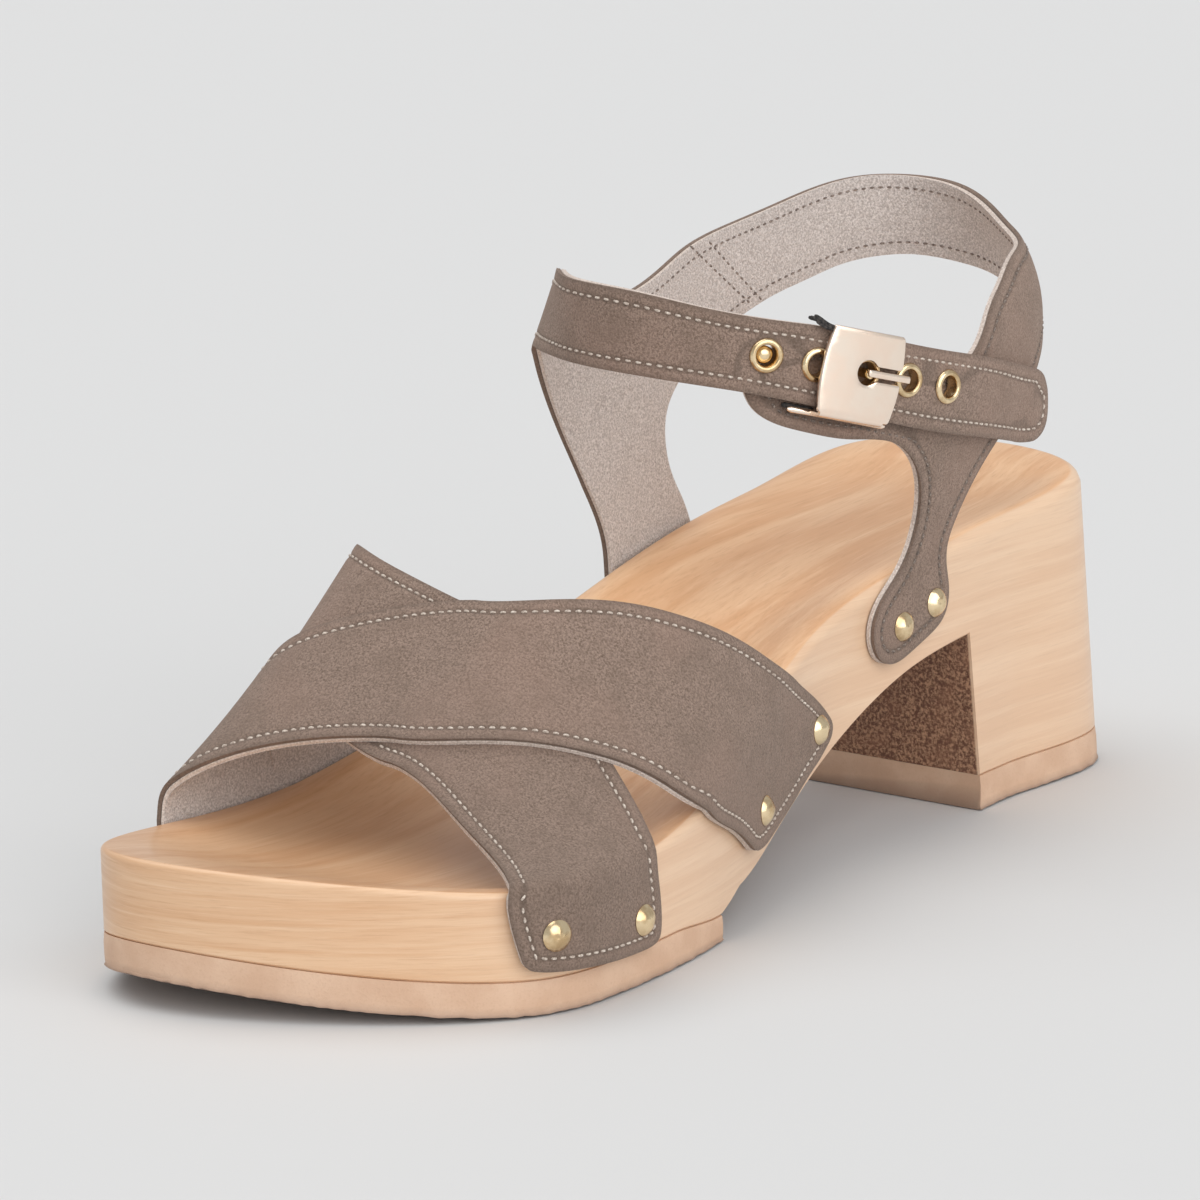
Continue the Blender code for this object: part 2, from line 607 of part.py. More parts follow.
TAIL_END = ((430.8, 84.0), (432.6, 80.5), (432.4, 76.6), (430.4, 73.6), (427.0, 72.4))
STRAP_FOOT = ((424, 73.0), (411, 76.3), (395.4, 79.8), (381.9, 83.2), (366.5, 87.7), (352.4, 91.7),
              (340.7, 94.2), (331, 95.8), (316, 96.4), (303, 95.8), (297, 94.6))
INNER_LEG = ((295, 92), (288.4, 80), (281.2, 65), (276.8, 54), (276.4, 49), (276.0, 44), (274.5, 38.5),
             (270.5, 35.6), (262, 37), (253, 40), (247.6, 43), (246.2, 47), (247.6, 52), (250.6, 58),
             (254.6, 64), (256.6, 70.6), (256.0, 76.5), (252.3, 81.5))
BAND_FOOT = ((246, 86), (238, 90), (229.1, 93.3), (222.8, 95.2), (214.9, 97.1), (207.6, 99.1),
             (200, 100.2), (192, 100.4), (183.9, 99.4), (174.4, 97.9), (160, 94.5), (145, 89),
             (134, 82.6), (125.6, 77))
OUTER_LEG = ((121.0, 73.4), (117, 69.2), (114.2, 64.8), (111.8, 60), (110.2, 55), (110.6, 50),
             (111.2, 45.5), (109.6, 41.5), (105.7, 39.1), (99.4, 36.7), (93, 35.1), (88.8, 36.6),
             (86.7, 41.7), (89.4, 47.2), (94.6, 51.4), (98.0, 55.5), (99.5, 60.5), (99.2, 66),
             (97.4, 71), (94.2, 75.2), (90, 78.3))
TAB_FOOT = ((86.3, 79.6), (77.7, 80.7), (68, 83.1), (61.2, 85.9), (58.2, 88.7), (56.9, 92))
STRAP_OVER = 2.35
STRAP_START, STRAP_AWAY = 304.0, 346.0
EYELET_FIRST, EYELET_STEP, EYELET_COUNT = (356.2, 98.3), (9.7, -2.57), 5
EYELETS = tuple((EYELET_FIRST[0] + EYELET_STEP[0] * k, EYELET_FIRST[1] + EYELET_STEP[1] * k)
                for k in range(EYELET_COUNT))
LEG_NAILS = ((96.3, 41.8), (106.6, 44.6), (264.8, 42.0), (251.2, 45.6))


def ankle_lift(s, z):
    return STRAP_OVER * float(smooth((s - STRAP_START) / (STRAP_AWAY - STRAP_START)))


def ankle_quarter(mat):
    outline = []
    below = STRAP_FOOT + INNER_LEG + BAND_FOOT + OUTER_LEG + TAB_FOOT
    for row in (QUARTER_TOP + STRAP_TOP, TAIL_END, below):
        outline += curve_through(row, 2) if row is not TAIL_END else list(row)
    holes = nail_holes(LEG_NAILS) + [round_hole(u, v, EYELET_BARREL_R + GAP, 10) for u, v in EYELETS]
    verts, faces = sheet_parts(outline, holes, (5.2, 6.0), ankle_form, ankle_lift, STRAP_THICK, 1.0)
    return body("ankle_quarter", verts, faces, mat)


def turned(name, profile, sides, place, normal, mat):
    """A round piece: its profile, in radius and height over the place, turned about the normal."""
    n = Vector(normal).normalized()
    side = n.cross(Vector((0, 0, 1))).normalized()
    up = n.cross(side)
    verts, faces, count = [], [], len(profile)
    for k in range(sides):
        turn = 2 * math.pi * k / sides
        out = side * math.cos(turn) + up * math.sin(turn)
        verts += [tuple(Vector(place) + out * r + n * h) for r, h in profile]
    joined = profile[0][0] > 0
    for k in range(sides):
        a, b = k * count, ((k + 1) % sides) * count
        for i in range(count if joined else count - 1):
            j = (i + 1) % count
            faces.append((a + i, b + i, b + j, a + j))
    return body(name, verts, faces, mat)


def surface_frame(form, u, v, off, sign):
    p = lay_on(form, u, v, sign * off)
    q = lay_on(form, u, v, sign * (off + 1.0))
    return Vector(p), (Vector(q) - Vector(p)).normalized()


# profile of a domed nail from the crown of its head to the tip of its pin: (radius, height over the strap)
NAIL_PROFILE = ((0, NAIL_HEAD_H + GAP), (0.4 * NAIL_HEAD_R, 0.88 * NAIL_HEAD_H + GAP),
                (0.76 * NAIL_HEAD_R, 0.6 * NAIL_HEAD_H + GAP), (NAIL_HEAD_R, 0.15 * NAIL_HEAD_H + GAP),
                (0.95 * NAIL_HEAD_R, GAP), (NAIL_PIN_R, GAP), (NAIL_PIN_R, 0.2 - STRAP_THICK),
                (0, 0.2 - STRAP_THICK))


def nails(mat):
    rows = [("upper", foot_form, UPPER_NAILS, upper_lift, -1.0),
    ("lower", foot_form, LOWER_NAILS, no_lift, -1.0), ("leg", ankle_form, LEG_NAILS, ankle_lift, 1.0)]
    for label, form, places, lift, sign in rows:
        for k, (u, v) in enumerate(places):
            p, n = surface_frame(form, u, v, lift(u, v) + STRAP_THICK, sign)
            turned("nail_%s_%d" % (label, k + 1), NAIL_PROFILE, 10, p, n, mat)


# profile of an eyelet: the rolled ring over the strap, then the barrel through it
EYELET_PROFILE = ((EYELET_BARREL_R - EYELET_WALL, 0.6 * EYELET_RISE + GAP),
                  (EYELET_BARREL_R, EYELET_RISE + GAP), (0.9 * EYELET_R, 0.85 * EYELET_RISE + GAP),
                  (EYELET_R, GAP), (EYELET_BARREL_R, GAP), (EYELET_BARREL_R, 0.1 - STRAP_THICK),
                  (EYELET_BARREL_R - EYELET_WALL, 0.1 - STRAP_THICK))


def eyelets(mat):
    for k, (u, v) in enumerate(EYELETS):
        p, n = surface_frame(ankle_form, u, v, ankle_lift(u, v) + STRAP_THICK, 1.0)
        turned("eyelet_%d" % (k + 1), EYELET_PROFILE, 14, p, n, mat)


# the plate buckle: a bowed plate over the strap with a keyhole cut in from its rear edge, a lip folded down
# at its foot, a round bar along the lip that reaches forward, and a prong that stands in the third eyelet
PLATE_AT = (374.8, 93.6)
STRAP_FALL = 0.265                # how far the strap drops for each millimetre along it
PLATE_HALF_LONG, PLATE_BOW, PLATE_SHIFT = 8.85, 1.05, -0.9
PLATE_TOP, PLATE_FOOT, PLATE_THICK, PLATE_OFF = 7.6, -8.8, 1.0, 1.5
PLATE_CORNER = 0.7
KEYHOLE_R, SLOT_HALF = 2.3, 1.3
LIP_THICK, LIP_DEPTH = 0.7, 3.4
BAR_R, BAR_FRONT, BAR_REAR, BAR_BELOW, BAR_OVER = 0.6, -14.6, 5.6, -9.45, 3.3
PRONG_HALF, PRONG_REACH, PRONG_THICK, POST_R, POST_DEEP, PRONG_EYELET = 0.7, 1.2, 1.1, 0.9, -1.4, 2


def plate_axes():
    """Place of the keyhole, and the directions along the strap, up it and out of it."""
    u, v = PLATE_AT
    p, n = surface_frame(ankle_form, u, v, ankle_lift(u, v) + STRAP_THICK, 1.0)
    ahead = (Vector(lay_on(ankle_form, u + 1.0, v - STRAP_FALL, 1.0))
             - Vector(lay_on(ankle_form, u - 1.0, v + STRAP_FALL, 1.0)))
    along = (ahead - n * ahead.dot(n)).normalized()
    up = n.cross(along)
    if up.z < 0:
        up = -up
    return p, along, up, n


def prism(name, rows, low, high, axes, mat):
    """A flat shape in plate places (along, up) between two heights above the strap."""
    p, along, up, n = axes
    count = len(rows)
    verts = [tuple(p + along * a + up * b + n * h) for h in (low, high) for a, b in rows]
    faces = [tuple(range(count)), tuple(range(count, 2 * count))]
    faces += [(i, (i + 1) % count, count + (i + 1) % count, count + i) for i in range(count)]
    return body(name, verts, faces, mat)


def plate_side(b):
    """Half length of the plate at height b: widest in the middle."""
    middle, half = 0.5 * (PLATE_TOP + PLATE_FOOT), 0.5 * (PLATE_TOP - PLATE_FOOT)
    return PLATE_HALF_LONG - PLATE_BOW * ((b - middle) / half) ** 2


def plate_outline():
    """Edge of the plate from its upper front corner round to its upper rear corner."""
    heights = (PLATE_TOP - PLATE_CORNER, 4.0, 0.0, -4.0, PLATE_FOOT)
    rows = [(PLATE_SHIFT - plate_side(PLATE_TOP) + PLATE_CORNER, PLATE_TOP)]
    rows += [(PLATE_SHIFT - plate_side(b), b) for b in heights]
    rows += [(PLATE_SHIFT + plate_side(b), b) for b in (PLATE_FOOT, -4.0, -SLOT_HALF)]
    open_half = math.asin(SLOT_HALF / KEYHOLE_R)
    rows += [(KEYHOLE_R * math.cos(t), KEYHOLE_R * math.sin(t))
             for t in np.linspace(-open_half, open_half - 2 * math.pi, 13)]
    rows += [(PLATE_SHIFT + plate_side(b), b) for b in (SLOT_HALF, 4.0, PLATE_TOP - PLATE_CORNER)]
    return rows + [(PLATE_SHIFT + plate_side(PLATE_TOP) - PLATE_CORNER, PLATE_TOP)]


def lip_bar(mat):
    """The round bar: a rod that follows the strap at an even height over the quarter."""
    sides, steps = 6, 7
    verts, faces = [], []
    for k in range(steps):
        a = BAR_FRONT + (BAR_REAR - BAR_FRONT) * k / (steps - 1)
        u, v = PLATE_AT[0] + a, PLATE_AT[1] + BAR_BELOW - STRAP_FALL * a
        p, n = surface_frame(ankle_form, u, v, BAR_OVER, 1.0)
        ahead = Vector(lay_on(ankle_form, u + 0.5, v - 0.5 * STRAP_FALL, BAR_OVER)) - p
        across = n.cross(ahead).normalized()
        for i in range(sides):
            turn = 2 * math.pi * i / sides
            verts.append(tuple(p + n * (BAR_R * math.cos(turn)) + across * (BAR_R * math.sin(turn))))
    for k in range(steps - 1):
        for i in range(sides):
            j = (i + 1) % sides
            faces.append((k * sides + i, k * sides + j, (k + 1) * sides + j, (k + 1) * sides + i))
    faces += [tuple(range(sides)), tuple(range((steps - 1) * sides, steps * sides))]
    return body("lip_bar", verts, faces, mat)


def buckle(mat_plate, mat_prong):
    axes = plate_axes()
    plate = prism("buckle_plate", plate_outline(), PLATE_OFF, PLATE_OFF + PLATE_THICK, axes, mat_plate)
    lip_side = plate_side(PLATE_FOOT) - 0.2
    lip = prism("buckle_lip", [(PLATE_SHIFT - lip_side, PLATE_FOOT + 0.05), (BAR_REAR, PLATE_FOOT + 0.05),
                               (BAR_REAR, PLATE_FOOT - LIP_THICK),
                               (PLATE_SHIFT - lip_side, PLATE_FOOT - LIP_THICK)],
                PLATE_OFF + PLATE_THICK - LIP_DEPTH, PLATE_OFF + PLATE_THICK - 0.05, axes, mat_plate)
    joined("buckle_plate", plate, [lip, lip_bar(mat_plate)])
    post_a = EYELETS[PRONG_EYELET][0] - PLATE_AT[0]
    post_b = EYELETS[PRONG_EYELET][1] - PLATE_AT[1] + STRAP_FALL * post_a
    tongue = [(post_a - PRONG_HALF, PRONG_HALF), (post_a - PRONG_HALF, -PRONG_HALF),
              (PLATE_HALF_LONG + PRONG_REACH, -PRONG_HALF), (PLATE_HALF_LONG + PRONG_REACH, PRONG_HALF)]
    prong = prism("buckle_prong", tongue, PLATE_OFF + 0.1, PLATE_OFF + PRONG_THICK, axes, mat_prong)
    post = prism("prong_post", [(post_a + POST_R * math.cos(t), post_b + POST_R * math.sin(t))
                                for t in np.radians(np.arange(0, 360, 45) + 22.5)],
                 POST_DEEP, PLATE_OFF + 0.6, axes, mat_prong)
    joined("buckle_prong", prong, [post])


def main():
    for ob in list(bpy.data.objects):
        bpy.data.objects.remove(ob, do_unlink=True)
    wood = material("pale_wood", (0.76, 0.50, 0.31), 0.42)
    rubber = material("beige_rubber", (0.56, 0.40, 0.31), 0.65)
    suede = material("taupe_suede", (0.235, 0.180, 0.145), 0.95)
    brass = material("brass", (0.80, 0.60, 0.30), 0.28, 1.0)
    plate = material("rose_gold", (0.88, 0.68, 0.54), 0.25, 1.0)
    wood_sole(wood)
    outsole(rubber)
    heel_lift(rubber)
    cross_straps(suede)
    ankle_quarter(suede)
    nails(brass)
    eyelets(brass)
    buckle(plate, brass)


main()
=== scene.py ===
import math

import bmesh
import bpy
import numpy as np
from mathutils import Matrix, Vector
from mathutils.geometry import delaunay_2d_cdt


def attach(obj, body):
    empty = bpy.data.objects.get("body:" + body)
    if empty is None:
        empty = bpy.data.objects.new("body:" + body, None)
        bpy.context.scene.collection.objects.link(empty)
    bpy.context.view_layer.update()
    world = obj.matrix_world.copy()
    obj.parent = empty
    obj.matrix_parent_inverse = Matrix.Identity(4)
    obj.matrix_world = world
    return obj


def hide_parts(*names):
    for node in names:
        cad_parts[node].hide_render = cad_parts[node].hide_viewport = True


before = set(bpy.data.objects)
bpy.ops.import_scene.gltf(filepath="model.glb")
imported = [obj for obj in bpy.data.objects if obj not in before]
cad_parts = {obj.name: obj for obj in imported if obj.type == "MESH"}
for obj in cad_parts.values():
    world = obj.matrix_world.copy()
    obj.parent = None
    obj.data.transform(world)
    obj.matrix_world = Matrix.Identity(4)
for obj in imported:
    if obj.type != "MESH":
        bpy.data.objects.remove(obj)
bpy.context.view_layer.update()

# The setting: a pale studio floor in wide even light, strongest from the front of the buckle side, with a
# weaker light from above. The camera stands in front of the shoe on that side.
CAMERA_AT = Vector((0.69663, -0.83514, 0.29344))
CAMERA_TURN, CAMERA_DROP, CAMERA_ROLL = map(math.radians, (42.03, 10.55, -1.72))
FOCAL_PIXELS, PHOTO_PIXELS, SENSOR = 3625.0, 1200.0, 36.0
FRAME_MIDDLE, FRAME_WIDE = (697.0, 722.0), 720.0

towards = Vector((math.sin(CAMERA_TURN) * math.cos(CAMERA_DROP),
                  -math.cos(CAMERA_TURN) * math.cos(CAMERA_DROP), math.sin(CAMERA_DROP)))
level = Vector((math.cos(CAMERA_TURN), math.sin(CAMERA_TURN), 0.0))
upright = towards.cross(level)
right = math.cos(CAMERA_ROLL) * level + math.sin(CAMERA_ROLL) * upright
above = math.cos(CAMERA_ROLL) * upright - math.sin(CAMERA_ROLL) * level
aim = (towards - right * ((FRAME_MIDDLE[0] - PHOTO_PIXELS / 2) / FOCAL_PIXELS)
       + above * ((FRAME_MIDDLE[1] - PHOTO_PIXELS / 2) / FOCAL_PIXELS)).normalized()
right = (right - aim * right.dot(aim)).normalized()
above = aim.cross(right)
camera = bpy.data.objects.new("camera", bpy.data.cameras.new("camera"))
camera.matrix_world = Matrix.Translation(CAMERA_AT) @ Matrix((right, above, aim)).transposed().to_4x4()
camera.data.sensor_width = SENSOR
camera.data.lens = SENSOR * FOCAL_PIXELS / FRAME_WIDE
camera.data.clip_end = 60.0
bpy.context.scene.collection.objects.link(camera)
bpy.context.scene.camera = camera
bpy.context.scene.view_settings.view_transform = "Standard"


def soft_light(name, comes_from, strength, spread, colour):
    """A large far studio light that falls evenly: the way it comes from and its spread in degrees."""
    lamp = bpy.data.lights.new(name, "SUN")
    lamp.energy, lamp.angle, lamp.color = strength, math.radians(spread), colour
    ob = bpy.data.objects.new(name, lamp)
    ob.rotation_euler = Vector(comes_from).to_track_quat("Z", "Y").to_euler()
    bpy.context.scene.collection.objects.link(ob)


soft_light("top_light", (-0.30, -0.12, 0.95), 1.25, 60.0, (1.0, 0.985, 0.965))
soft_light("front_light", (0.90, -0.32, 0.45), 1.85, 70.0, (1.0, 0.99, 0.98))
surround = bpy.data.worlds.new("surround")
bpy.context.scene.world = surround
surround.use_nodes = True
surround.node_tree.nodes["Background"].inputs["Color"].default_value = (0.97, 0.985, 1.0, 1.0)
surround.node_tree.nodes["Background"].inputs["Strength"].default_value = 0.50


class Flow:
    """A value on its way through a finish: sums and products of it add Math nodes."""

    def __init__(self, finish, socket):
        self.finish, self.socket = finish, socket

    def maths(self, operation, first, second=None):
        """A Math node on one or two values."""
        values = {0: first} if second is None else {0: first, 1: second}
        return self.finish.node("ShaderNodeMath", {"operation": operation}, values)

    def __add__(self, other):
        return self.maths("ADD", self, other)

    def __radd__(self, other):
        return self.maths("ADD", other, self)

    def __sub__(self, other):
        return self.maths("SUBTRACT", self, other)

    def __rsub__(self, other):
        return self.maths("SUBTRACT", other, self)

    def __mul__(self, other):
        return self.maths("MULTIPLY", self, other)

    def __rmul__(self, other):
        return self.maths("MULTIPLY", other, self)

    def __pow__(self, other):
        return self.maths("POWER", self, other)

    def between(self, low, high):
        """0 below low, 1 above high, soft in between."""
        return self.finish.node("ShaderNodeMapRange", {"interpolation_type": "SMOOTHSTEP", "clamp": True},
                                {"Value": self, "From Min": low, "From Max": high})


class Finish:
    """The material of one kind of surface, built from nodes."""

    def __init__(self, name, **constants):
        self.material = bpy.data.materials.new(name)
        self.material.use_nodes = True
        self.tree = self.material.node_tree
        self.shader = self.tree.nodes["Principled BSDF"]
        for key, value in constants.items():
            self.shader.inputs[key.replace("_", " ")].default_value = value

    def put(self, socket, value):
        """Links a flow to the socket, or sets the socket to a plain value or colour."""
        if isinstance(value, Flow):
            self.tree.links.new(value.socket, socket)
        elif isinstance(value, (tuple, list)) and len(value) == 3 and socket.type == "RGBA":
            socket.default_value = (*value, 1.0)
        else:
            socket.default_value = value

    def node(self, kind, settings=None, values=None, out=0):
        """Any node: its type, its settings first, then the values or links of its sockets."""
        made = self.tree.nodes.new(kind)
        for key, value in (settings or {}).items():
            setattr(made, key, value)
        for key, value in (values or {}).items():
            self.put(made.inputs[key], value)
        return Flow(self, made.outputs[out])

    def place(self, stretch=(1, 1, 1), turn=(0, 0, 0)):
        """Object coordinates, stretched and turned."""
        spot = self.node("ShaderNodeTexCoord", out=3)
        return self.node("ShaderNodeMapping", None, {"Vector": spot, "Scale": stretch, "Rotation": turn})

    def noise(self, where, scale, detail=3.0, roughness=0.55, distortion=0.0):
        """Noise read at a place."""
        return self.node("ShaderNodeTexNoise", None, {"Vector": where, "Scale": scale, "Detail": detail,
                                                      "Roughness": roughness, "Distortion": distortion})

    def mark(self, name):
        """A value kept at the points of the mesh under a name."""
        return self.node("ShaderNodeAttribute", {"attribute_name": name}, None, out=2)

    def mix(self, amount, first, second, blend="MIX"):
        """The first colour blended towards the second by an amount."""
        made = self.tree.nodes.new("ShaderNodeMix")
        made.data_type, made.blend_type = "RGBA", blend
        for socket, value in ((made.inputs[0], amount), (made.inputs[6], first), (made.inputs[7], second)):
            self.put(socket, value)
        return Flow(self, made.outputs[2])

    def bump(self, height, strength, distance):
        """Fine relief on the surface from a height."""
        made = self.node("ShaderNodeBump", None,
                         {"Height": height, "Strength": strength, "Distance": distance})
        self.put(self.shader.inputs["Normal"], made)

    def coat(self, **flows):
        """Links or values for the shader's own sockets."""
        for key, value in flows.items():
            self.put(self.shader.inputs[key.replace("_", " ")], value)


paper = Finish("studio_floor", Roughness=0.75)
paper.coat(Base_Color=(0.676, 0.678, 0.680))
FLOOR_HALF, FLOOR_DROP = 14.0, -0.0002
FLOOR_CORNERS = ((-1, -1), (1, -1), (1, 1), (-1, 1))
floor_mesh = bpy.data.meshes.new("studio_floor")
floor_mesh.from_pydata([(x * FLOOR_HALF, y * FLOOR_HALF, FLOOR_DROP) for x, y in FLOOR_CORNERS],
                       [], [(0, 1, 2, 3)])
floor_mesh.materials.append(paper.material)
floor = bpy.data.objects.new("studio_floor", floor_mesh)
bpy.context.scene.collection.objects.link(floor)

# The wooden sole: one block of pale close-grained wood, shaped on a copying lathe and lacquered, with a
# dished footbed, an arch and a block heel. The arch and the heel front are left rough and darker.
# Sizes are millimetres; x runs to the buckle side, y to the heel.
MM = 0.001
MIDDLE = np.array((6.2, -1.0, 0.0))
LATERAL_EDGE = ((105, 22.5), (80, 25.3), (50, 26.5), (20, 27.2), (-10, 35.3), (-40, 45.2), (-70, 50.0),
                (-95, 43.2))
MEDIAL_EDGE = ((-100, -35.4), (-75, -36.8), (-45, -34.0), (-15, -28.3), (15, -26.4), (45, -29.1),
               (75, -33.3), (105, -32.9))
TOE_TIP, HEEL_TIP = (-15.1, -124.9), (-0.4, 115.0)
RIM_Y, RIM_Z = (-122, -85, -50, -15, 20, 55, 90, 122), (26.4, 21.8, 24.3, 34.4, 46.4, 53.6, 57.7, 63.3)
MEDIAL_LIFT_Y, MEDIAL_LIFT_Z = (-110, -60, 0, 70, 110), (0.0, 0.4, 3.9, 1.4, 0.3)
ARCH_Y, ARCH_Z = (-33, -18, -5, 20, 45, 64.3), (6.6, 8.6, 12.5, 22.2, 32.4, 35.4)
BREAST_TOP_Y, BREAST_FOOT_Y = 64.3, 67.3
OUTSOLE_END_Y, ARCH_START_Y, TAPER_START_Y = -33.0, -25.0, -52.0
OUTSOLE_THICK, OUTSOLE_END_THICK, LIFT_THICK, GAP = 6.0, 4.4, 6.6, 0.3
TOE_SPRING, SPRING_START_Y, SPRING_RUN = 4.9, -85.0, 37.5
HEEL_FLARE_BACK, HEEL_FLARE_SIDE, HEEL_HALF_WIDTH = 8.2, -1.3, 29.0
TOE_ARC_Y, HEEL_ARC_Y = -106.0, 102.0
DISH_DEPTH, DISH_FRONT, DISH_REAR = 2.6, (-122.0, 32.0), (114.0, 26.0)
EDGE_ROUND_Y, EDGE_ROUND_R = (-110, -60, 20, 70), (1.1, 1.4, 2.0, 2.8)
RING_STEP, CHAMFER = 1.4, 0.35


def natural_spline(xs, ys):
    """Cubic through the given pairs, straight at both ends."""
    xs, ys = np.array(xs, float), np.array(ys, float)
    n, h = len(xs), np.diff(xs)
    a, r = np.eye(n), np.zeros(n)
    for i in range(1, n - 1):
        a[i, i - 1:i + 2] = h[i - 1], 2 * (h[i - 1] + h[i]), h[i]
        r[i] = 6 * ((ys[i + 1] - ys[i]) / h[i] - (ys[i] - ys[i - 1]) / h[i - 1])
    m = np.linalg.solve(a, r)

    def value(x):
        x = np.asarray(x, float)
        k = np.clip(np.searchsorted(xs, x) - 1, 0, n - 2)
        lo, hi, span = x - xs[k], xs[k + 1] - x, h[k]
        low = (ys[k] / span - m[k] * span / 6) * hi
        high = (ys[k + 1] / span - m[k + 1] * span / 6) * lo
        return low + high + (m[k] * hi ** 3 + m[k + 1] * lo ** 3) / (6 * span)
    return value


def closed_spline(points, power=0.5, count=2400):
    """Smooth closed curve through the points, returned as count + 1 samples."""
    p = np.array(list(points) + [points[0]], float)
    t = np.concatenate([[0], np.cumsum(np.linalg.norm(np.diff(p, axis=0), axis=1) ** power)])
    n, h = len(p) - 1, np.diff(t)
    a, r = np.zeros((n, n)), np.zeros((n, 2))
    for i in range(n):
        a[i, i - 1] += h[i - 1]
        a[i, i] += 2 * (h[i - 1] + h[i])
        a[i, (i + 1) % n] += h[i]
        r[i] = 6 * ((p[i + 1] - p[i]) / h[i] - (p[i] - p[i - 1 if i else n - 1]) / h[i - 1])
    m = np.linalg.solve(a, r)
    m = np.vstack([m, m[:1]])
    tt = np.linspace(0, t[-1], count + 1)
    k = np.clip(np.searchsorted(t, tt) - 1, 0, n - 1)
    lo, hi, s = (tt - t[k])[:, None], (t[k + 1] - tt)[:, None], h[k][:, None]
    return ((p[k] / s - m[k] * s / 6) * hi + (p[k + 1] / s - m[k + 1] * s / 6) * lo
            + (m[k] * hi ** 3 + m[k + 1] * lo ** 3) / (6 * s))


def smooth(t):
    """0 below 0, 1 above 1, and three t squared less two t cubed between."""
    t = np.clip(t, 0.0, 1.0)
    return t * t * (3 - 2 * t)


OUTLINE = closed_spline([HEEL_TIP] + [(x, y) for y, x in LATERAL_EDGE] + [TOE_TIP]
                        + [(x, y) for y, x in MEDIAL_EDGE])
TOE_AT = int(np.argmin(OUTLINE[:, 1]))
LATERAL_CURVE, MEDIAL_CURVE = OUTLINE[:TOE_AT + 1][::-1], OUTLINE[TOE_AT:]
RIM_CURVE, ARCH_CURVE = natural_spline(RIM_Y, RIM_Z), natural_spline(ARCH_Y, ARCH_Z)


def lateral_x(y):
    """The outer edge of the outline at y, read between its samples."""
    return np.interp(y, LATERAL_CURVE[:, 1], LATERAL_CURVE[:, 0])


def medial_x(y):
    """The inner edge of the outline at y, read between its samples."""
    return np.interp(y, MEDIAL_CURVE[:, 1], MEDIAL_CURVE[:, 0])


def rim_z(x, y):
    """Height of the rim: a curve along the foot, raised a little along the inner side."""
    return RIM_CURVE(y) + np.interp(y, MEDIAL_LIFT_Y, MEDIAL_LIFT_Z) * np.clip((8.0 - x) / 30.0, 0, 1)


def floor_z(y):
    """Underside of the outsole: flat, then sprung up towards the toe as a parabola."""
    return TOE_SPRING * (np.maximum(SPRING_START_Y - y, 0.0) / SPRING_RUN) ** 2


def outsole_thick(y):
    """Full under the ball of the foot, eased down to the thin rear end."""
    t = (y - TAPER_START_Y) / (OUTSOLE_END_Y - TAPER_START_Y)
    return OUTSOLE_THICK + (OUTSOLE_END_THICK - OUTSOLE_THICK) * smooth(t)


def wood_floor_z(y):
    """Underside of the wood: on the outsole, along the arch, down the heel front, on the lift."""
    on_outsole = floor_z(y) + outsole_thick(y) + GAP
    start = OUTSOLE_END_THICK + GAP
    t = np.clip((y - OUTSOLE_END_Y) / (ARCH_START_Y - OUTSOLE_END_Y), 0, 1)
    arch = start + (ARCH_CURVE(np.clip(y, OUTSOLE_END_Y, BREAST_TOP_Y)) - start) * t
    breast = np.interp(y, (BREAST_TOP_Y, BREAST_FOOT_Y), (ARCH_Z[-1], LIFT_THICK + GAP))
    return np.where(y <= OUTSOLE_END_Y, on_outsole, np.where(y <= BREAST_TOP_Y, arch, breast))


def heel_flare(x, y, z):
    """The heel block spreads backwards and narrows a little towards its foot."""
    share = 1.0 - np.clip(z / RIM_CURVE(y), 0, 1)
    run = np.maximum(y - BREAST_FOOT_Y, 0.0) / (HEEL_TIP[1] - BREAST_FOOT_Y)
    middle = 0.5 * (lateral_x(y) + medial_x(y))
    side = 1.0 + HEEL_FLARE_SIDE / HEEL_HALF_WIDTH * share * np.minimum(run * 4.0, 1.0)
    return middle + (x - middle) * side, y + HEEL_FLARE_BACK * share * run


def along_curve(points, step):
    """Even steps of about the given length along a row of points, both ends kept."""
    run = np.concatenate([[0], np.cumsum(np.linalg.norm(np.diff(points, axis=0), axis=1))])
    at = np.linspace(0, run[-1], max(int(round(run[-1] / step)), 1) + 1)
    return np.column_stack([np.interp(at, run, points[:, k]) for k in range(points.shape[1])])


